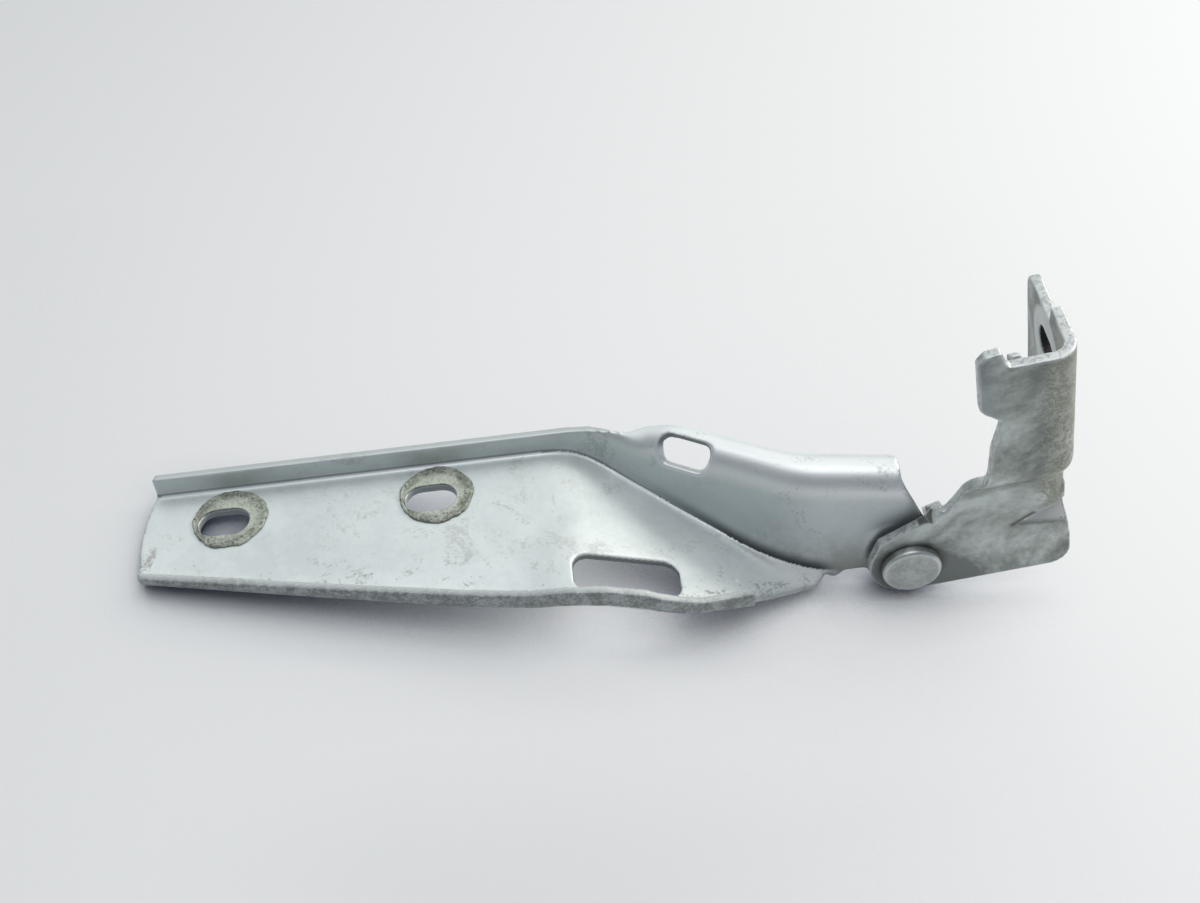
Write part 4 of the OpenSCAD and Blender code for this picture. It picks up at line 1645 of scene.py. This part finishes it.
        # Painted shade in the dart's pocket and on the stop tab's left face.
        run = np.clip((x - self.width + 14.2) / 5.0, 0.0, 1.0)
        pocket = np.hypot(x - self.width + 14.2 - 5.0 * run, z - 8.6 - 2.6 * run)
        mark(obj, "dart_pocket_shade", 0.8 * front * (1.0 - ease((pocket - 0.3 - 0.5 * run) / 0.9)))
        tab = (x > 3.0) & (x < 7.0) & (z > 14.2) & (z < 23.0) & (face_x < -0.3)
        mark(obj, "tab_shade", 0.85 * tab * (y < self.eye_in_y + 5.0))
        # Painted shade with grime in a ring round the rivet head.
        rivet_shade = 1.0 - ease((np.hypot(x, z) - 7.6) / 3.0)
        mark(obj, "rivet_ring_shade", rivet_shade * (y < self.eye_out_y + 0.6))

    def dress(self, obj: Piece, finishes: Finishes) -> None:
        """Gives the bracket its finish and its body."""
        hand_over(obj, FROM_BRACKET, finishes.bracket, Side.BODY, "body_bracket")


@dataclass
class PivotStack:
    """The rivet with its bush and washers, turned about the pivot axis."""

    shank_r: float = 5.0
    head_r: float = 7.8
    head_t: float = 2.7
    tail_r: float = 7.0
    tail_t: float = 2.0
    bracket_out_y: float = -37.8
    thrust_y: float = -34.8
    thrust_t: float = 1.7
    thrust_r: float = 8.5
    wall_y: float = -33.0
    wall_back_y: float = -30.5
    bush_r: float = 6.05
    bush_bore_r: float = 5.05
    washer_y: float = -30.4
    washer_t: float = 1.5
    washer_r: float = 9.0
    broken_edge: float = 0.18
    head_edge_r: float = 1.1
    tail_edge_r: float = 1.2

    def rivet(self) -> Piece:
        """Turns the rivet: domed flat head, shank and peened tail.

        Returns:
            The rivet.
        """
        head_y, tail_y = self.bracket_out_y - self.head_t, self.washer_y + self.washer_t
        seat_y, end_y = self.bracket_out_y, tail_y + self.tail_t
        r, s, quarter = self.head_edge_r, self.tail_edge_r, np.radians(np.linspace(0, 90, 9))
        rim = [(self.head_r - r + r * math.sin(a), head_y + r - r * math.cos(a)) for a in quarter]
        peen = [(self.tail_r - s + s * math.cos(a), end_y - s + s * math.sin(a)) for a in quarter]
        profile = [(0.0, head_y + 0.12), (3.4, head_y + 0.10), (5.6, head_y + 0.02), *rim,
                   (self.head_r, seat_y - 0.3), (self.head_r - 0.3, seat_y),
                   (self.shank_r, seat_y), (self.shank_r, tail_y), (self.tail_r - 0.2, tail_y),
                   (self.tail_r, tail_y + 0.2), *peen, (4.2, end_y), (3.6, end_y - 0.25),
                   (2.0, end_y - 0.5), (0.0, end_y - 0.6)]
        return lathe("pivot_rivet_turned", profile)

    def ring(self, name: str, outer: float, inner: float, low: float, high: float) -> Piece:
        """Returns a plain ring with broken edges.

        Args:
            name: The object's name.
            outer: Outside radius.
            inner: Bore radius.
            low: Its first face along y.
            high: Its last face along y.

        Returns:
            The ring.
        """
        b = self.broken_edge
        return lathe(name, [(inner, low + b), (inner + b, low), (outer - b, low),
                            (outer - b / 3, low + b / 3), (outer, low + b), (outer, high - b),
                            (outer - b / 3, high - b / 3), (outer - b, high), (inner + b, high),
                            (inner, high - b)])

    def build(self, finishes: Finishes) -> None:
        """Turns and dresses every piece of the stack.

        Args:
            finishes: Every finish of the hinge.
        """
        rivet = self.rivet()
        bush = self.ring("pivot_bush_turned", self.bush_r, self.bush_bore_r, self.wall_y,
                         self.wall_back_y)
        thrust = self.ring("thrust_washer_turned", self.thrust_r, self.shank_r, self.thrust_y,
                           self.thrust_y + self.thrust_t)
        washer = self.ring("tail_washer_turned", self.washer_r, self.shank_r, self.washer_y,
                           self.washer_y + self.washer_t)
        for obj, finish, side, slot, node in (
                (rivet, finishes.rivet, Side.BODY, "rivet_steel", "pivot_rivet"),
                (bush, finishes.bush, Side.BONNET, "bush_bronze", "pivot_bush"),
                (thrust, finishes.washer, Side.BODY, "washer_steel", "thrust_washer"),
                (washer, finishes.washer, Side.BODY, "washer_steel", "tail_washer")):
            take(obj)
            bpy.ops.object.shade_smooth_by_angle(angle=math.radians(35))
            # Painted highlight on the outer rim.
            x, _, z = corners(obj).T
            reach = np.hypot(x, z)
            brightening = ease((reach - reach.max() + 1.2) / 0.3) * (reach < reach.max() - 0.08)
            mark(obj, "rim_painted_highlight", brightening)
            hand_over(obj, FROM_BRACKET, finish, side, node)


@dataclass
class Studio:
    """Pale floor, soft light and the camera at the photograph's viewing angle."""

    camera_at: tuple[float, float, float] = (-0.113199, -0.282054, 0.288005)
    camera_right: tuple[float, float, float] = (0.992965, -0.070539, -0.095109)
    aim: tuple[float, float, float] = (-0.1135, 0.0, -0.0135)
    lens: float = 48.0
    floor_colour: Colour = (0.83, 0.835, 0.84)
    floor_z: float = -0.29
    shade_colour: Colour = (0.13, 0.16, 0.23)
    shade_reach: float = 0.12
    shade_near: float = 0.018
    shade_samples: int = 4
    floor_half: float = 6.0
    table_fall: float = 0.1418
    window_way: tuple[float, float, float] = (0.77, 0.39, 0.50)
    window_off: float = 1.6
    shade_way: tuple[float, float, float] = (1.5, 0.8, 0.0)
    room_way: tuple[float, float, float] = (0.0, 0.6, 0.8)
    room_dim: Colour = (0.205, 0.222, 0.25)
    room_lit: Colour = (0.93, 0.962, 0.975)

    def camera(self) -> None:
        """Puts the camera where the photograph was taken from."""
        data = bpy.data.cameras.new("photograph_view")
        data.sensor_width = 36.0
        data.lens = self.lens
        data.clip_start = 0.01
        camera = bpy.data.objects.new("photograph_view", data)
        bpy.context.collection.objects.link(camera)
        at = Vector(self.camera_at)
        ahead = (Vector(self.aim) - at).normalized()
        right = Vector(self.camera_right)
        right = (right - ahead * right.dot(ahead)).normalized()
        up = right.cross(ahead)
        turn = Matrix((right, up, -ahead)).transposed()
        camera.matrix_world = Matrix.Translation(at) @ turn.to_4x4()
        bpy.context.scene.camera = camera

    def table_height(self, x: float) -> float:
        """Follows the table under the hinge.

        Args:
            x: Place in metres.

        Returns:
            Its height in metres.
        """
        run = x / MILLIMETRE + PART_ORIGIN.x
        fall = ramp(run + 25.0, 25.0) - ramp(run - 245.0, 25.0)
        return (0.46 - self.table_fall * fall - PART_ORIGIN.z) * MILLIMETRE

    def card(self, name: str, colour: Colour, specular: float) -> Coat:
        """Starts the matt material of a stage sheet.

        Args:
            name: The material's name.
            colour: Its colour.
            specular: How much it shines.

        Returns:
            The material's coat.
        """
        coat = Coat(name, colour)
        coat.feed(coat.shader, {"Base Color": (*colour, 1.0), "Roughness": 0.95,
                                "Specular IOR Level": specular})
        return coat

    def floor(self) -> None:
        """Lays the pale floor, low enough for the arm to swing clear of it."""
        ends = (-self.floor_half, self.floor_half)
        rows = np.array([[(x, y, self.floor_z) for y in ends] for x in ends])
        obj = sheet_face("pale_floor", rows)
        obj.data.materials.append(self.card("pale_floor_card", self.floor_colour, 0.05).material)

    def contact_shade(self) -> None:
        """Lays a clear sheet where the hinge rests, which shows only the shade on it."""
        low, high = FRAME_BOX
        reach = self.shade_reach
        rows = np.array([[(x, y, self.table_height(float(x)))
                          for y in np.linspace(low[1] - reach, high[1] + reach, 9)]
                         for x in np.linspace(low[0] - reach, high[0] + reach, 121)])
        obj = sheet_face("contact_shade", rows)
        bpy.ops.object.shade_smooth()
        coat = self.card("contact_shade_clear", self.shade_colour, 0.0)
        facing = coat.add("ShaderNodeNewGeometry").outputs["Normal"]
        lean = coat.add("ShaderNodeVectorMath", {0: facing, 1: self.shade_way}, operation="ADD")
        lean = coat.add("ShaderNodeVectorMath", {0: lean.outputs["Vector"]}, operation="NORMALIZE")
        over = coat.add("ShaderNodeAmbientOcclusion", {"Distance": self.shade_near},
                        samples=self.shade_samples)
        window = coat.add("ShaderNodeAmbientOcclusion",
                          {"Distance": reach, "Normal": lean.outputs["Vector"]},
                          samples=self.shade_samples)
        near = coat.spread(over.outputs["AO"], 0.90, 0.20, 0.0, 0.88)
        cast = coat.spread(window.outputs["AO"], 0.98, 0.30, 0.0, 0.38)
        coat.feed(coat.shader, {"Alpha": coat.math("ADD", near, cast, clamp=True)})
        obj.data.materials.append(coat.material)

    def lamp(self, name: str, at: tuple[float, float, float], size: float, power: float,
             colour: Colour) -> None:
        """Hangs one soft lamp aimed at the hinge.

        Args:
            name: The lamp's name.
            at: Its place in metres.
            size: Its side in metres.
            power: Its power in watts.
            colour: Its colour.
        """
        data = bpy.data.lights.new(name, "AREA")
        data.shape, data.size, data.energy, data.color = "SQUARE", size, power, colour
        lamp = bpy.data.objects.new(name, data)
        bpy.context.collection.objects.link(lamp)
        lamp.location = at
        lamp.rotation_mode = "QUATERNION"
        lamp.rotation_quaternion = (Vector(self.aim) - Vector(at)).to_track_quat("-Z", "Y")

    def world(self) -> None:
        """Surrounds the hinge with a pale room, lighter above and behind it."""
        world = bpy.data.worlds.new("pale_room")
        world.use_nodes = True
        bpy.context.scene.world = world
        tree = Tree(world.node_tree)
        way = tree.add("ShaderNodeTexCoord").outputs["Generated"]
        lit = tree.add("ShaderNodeVectorMath", {0: way, 1: self.room_way}, operation="DOT_PRODUCT")
        share = tree.spread(lit.outputs["Value"], 0.35, 0.97)
        room = tree.scale(share, ((0.0, self.room_dim), (1.0, self.room_lit)))
        back = tree.add("ShaderNodeBackground", {"Color": room, "Strength": 1.0})
        tree.add("ShaderNodeOutputWorld", {"Surface": back.outputs["Background"]})

    def build(self) -> None:
        """Sets the whole studio."""
        self.camera()
        self.floor()
        self.contact_shade()
        self.world()
        at = Vector(self.aim) + Vector(self.window_way) * self.window_off
        self.lamp("window_light", tuple(at), 0.45, 15.0, (1.0, 0.965, 0.905))
        self.lamp("ceiling_light", (-0.1, -0.15, 1.3), 0.5, 3.0, (0.98, 0.99, 1.0))
        bpy.context.scene.view_settings.view_transform = "Standard"


def main() -> None:
    """Builds the hinge piece by piece and sets it in the studio."""
    logging.basicConfig(level=logging.INFO, format="%(message)s")
    finishes = Finishes()
    Studio().build()
    arm = BonnetArm()
    arm.dress(arm.build(), finishes)
    for i, name in enumerate(("wax_ring_outer", "wax_ring_inner")):
        ring = WaxRing(name, arm, arm.slot_x + i * arm.slot_pitch, seed=3.7 * i)
        ring.dress(ring.build(), finishes)
    bracket = BodyBracket()
    bracket.dress(bracket.build(), finishes)
    PivotStack().build(finishes)


if __name__ == "__main__":
    main()
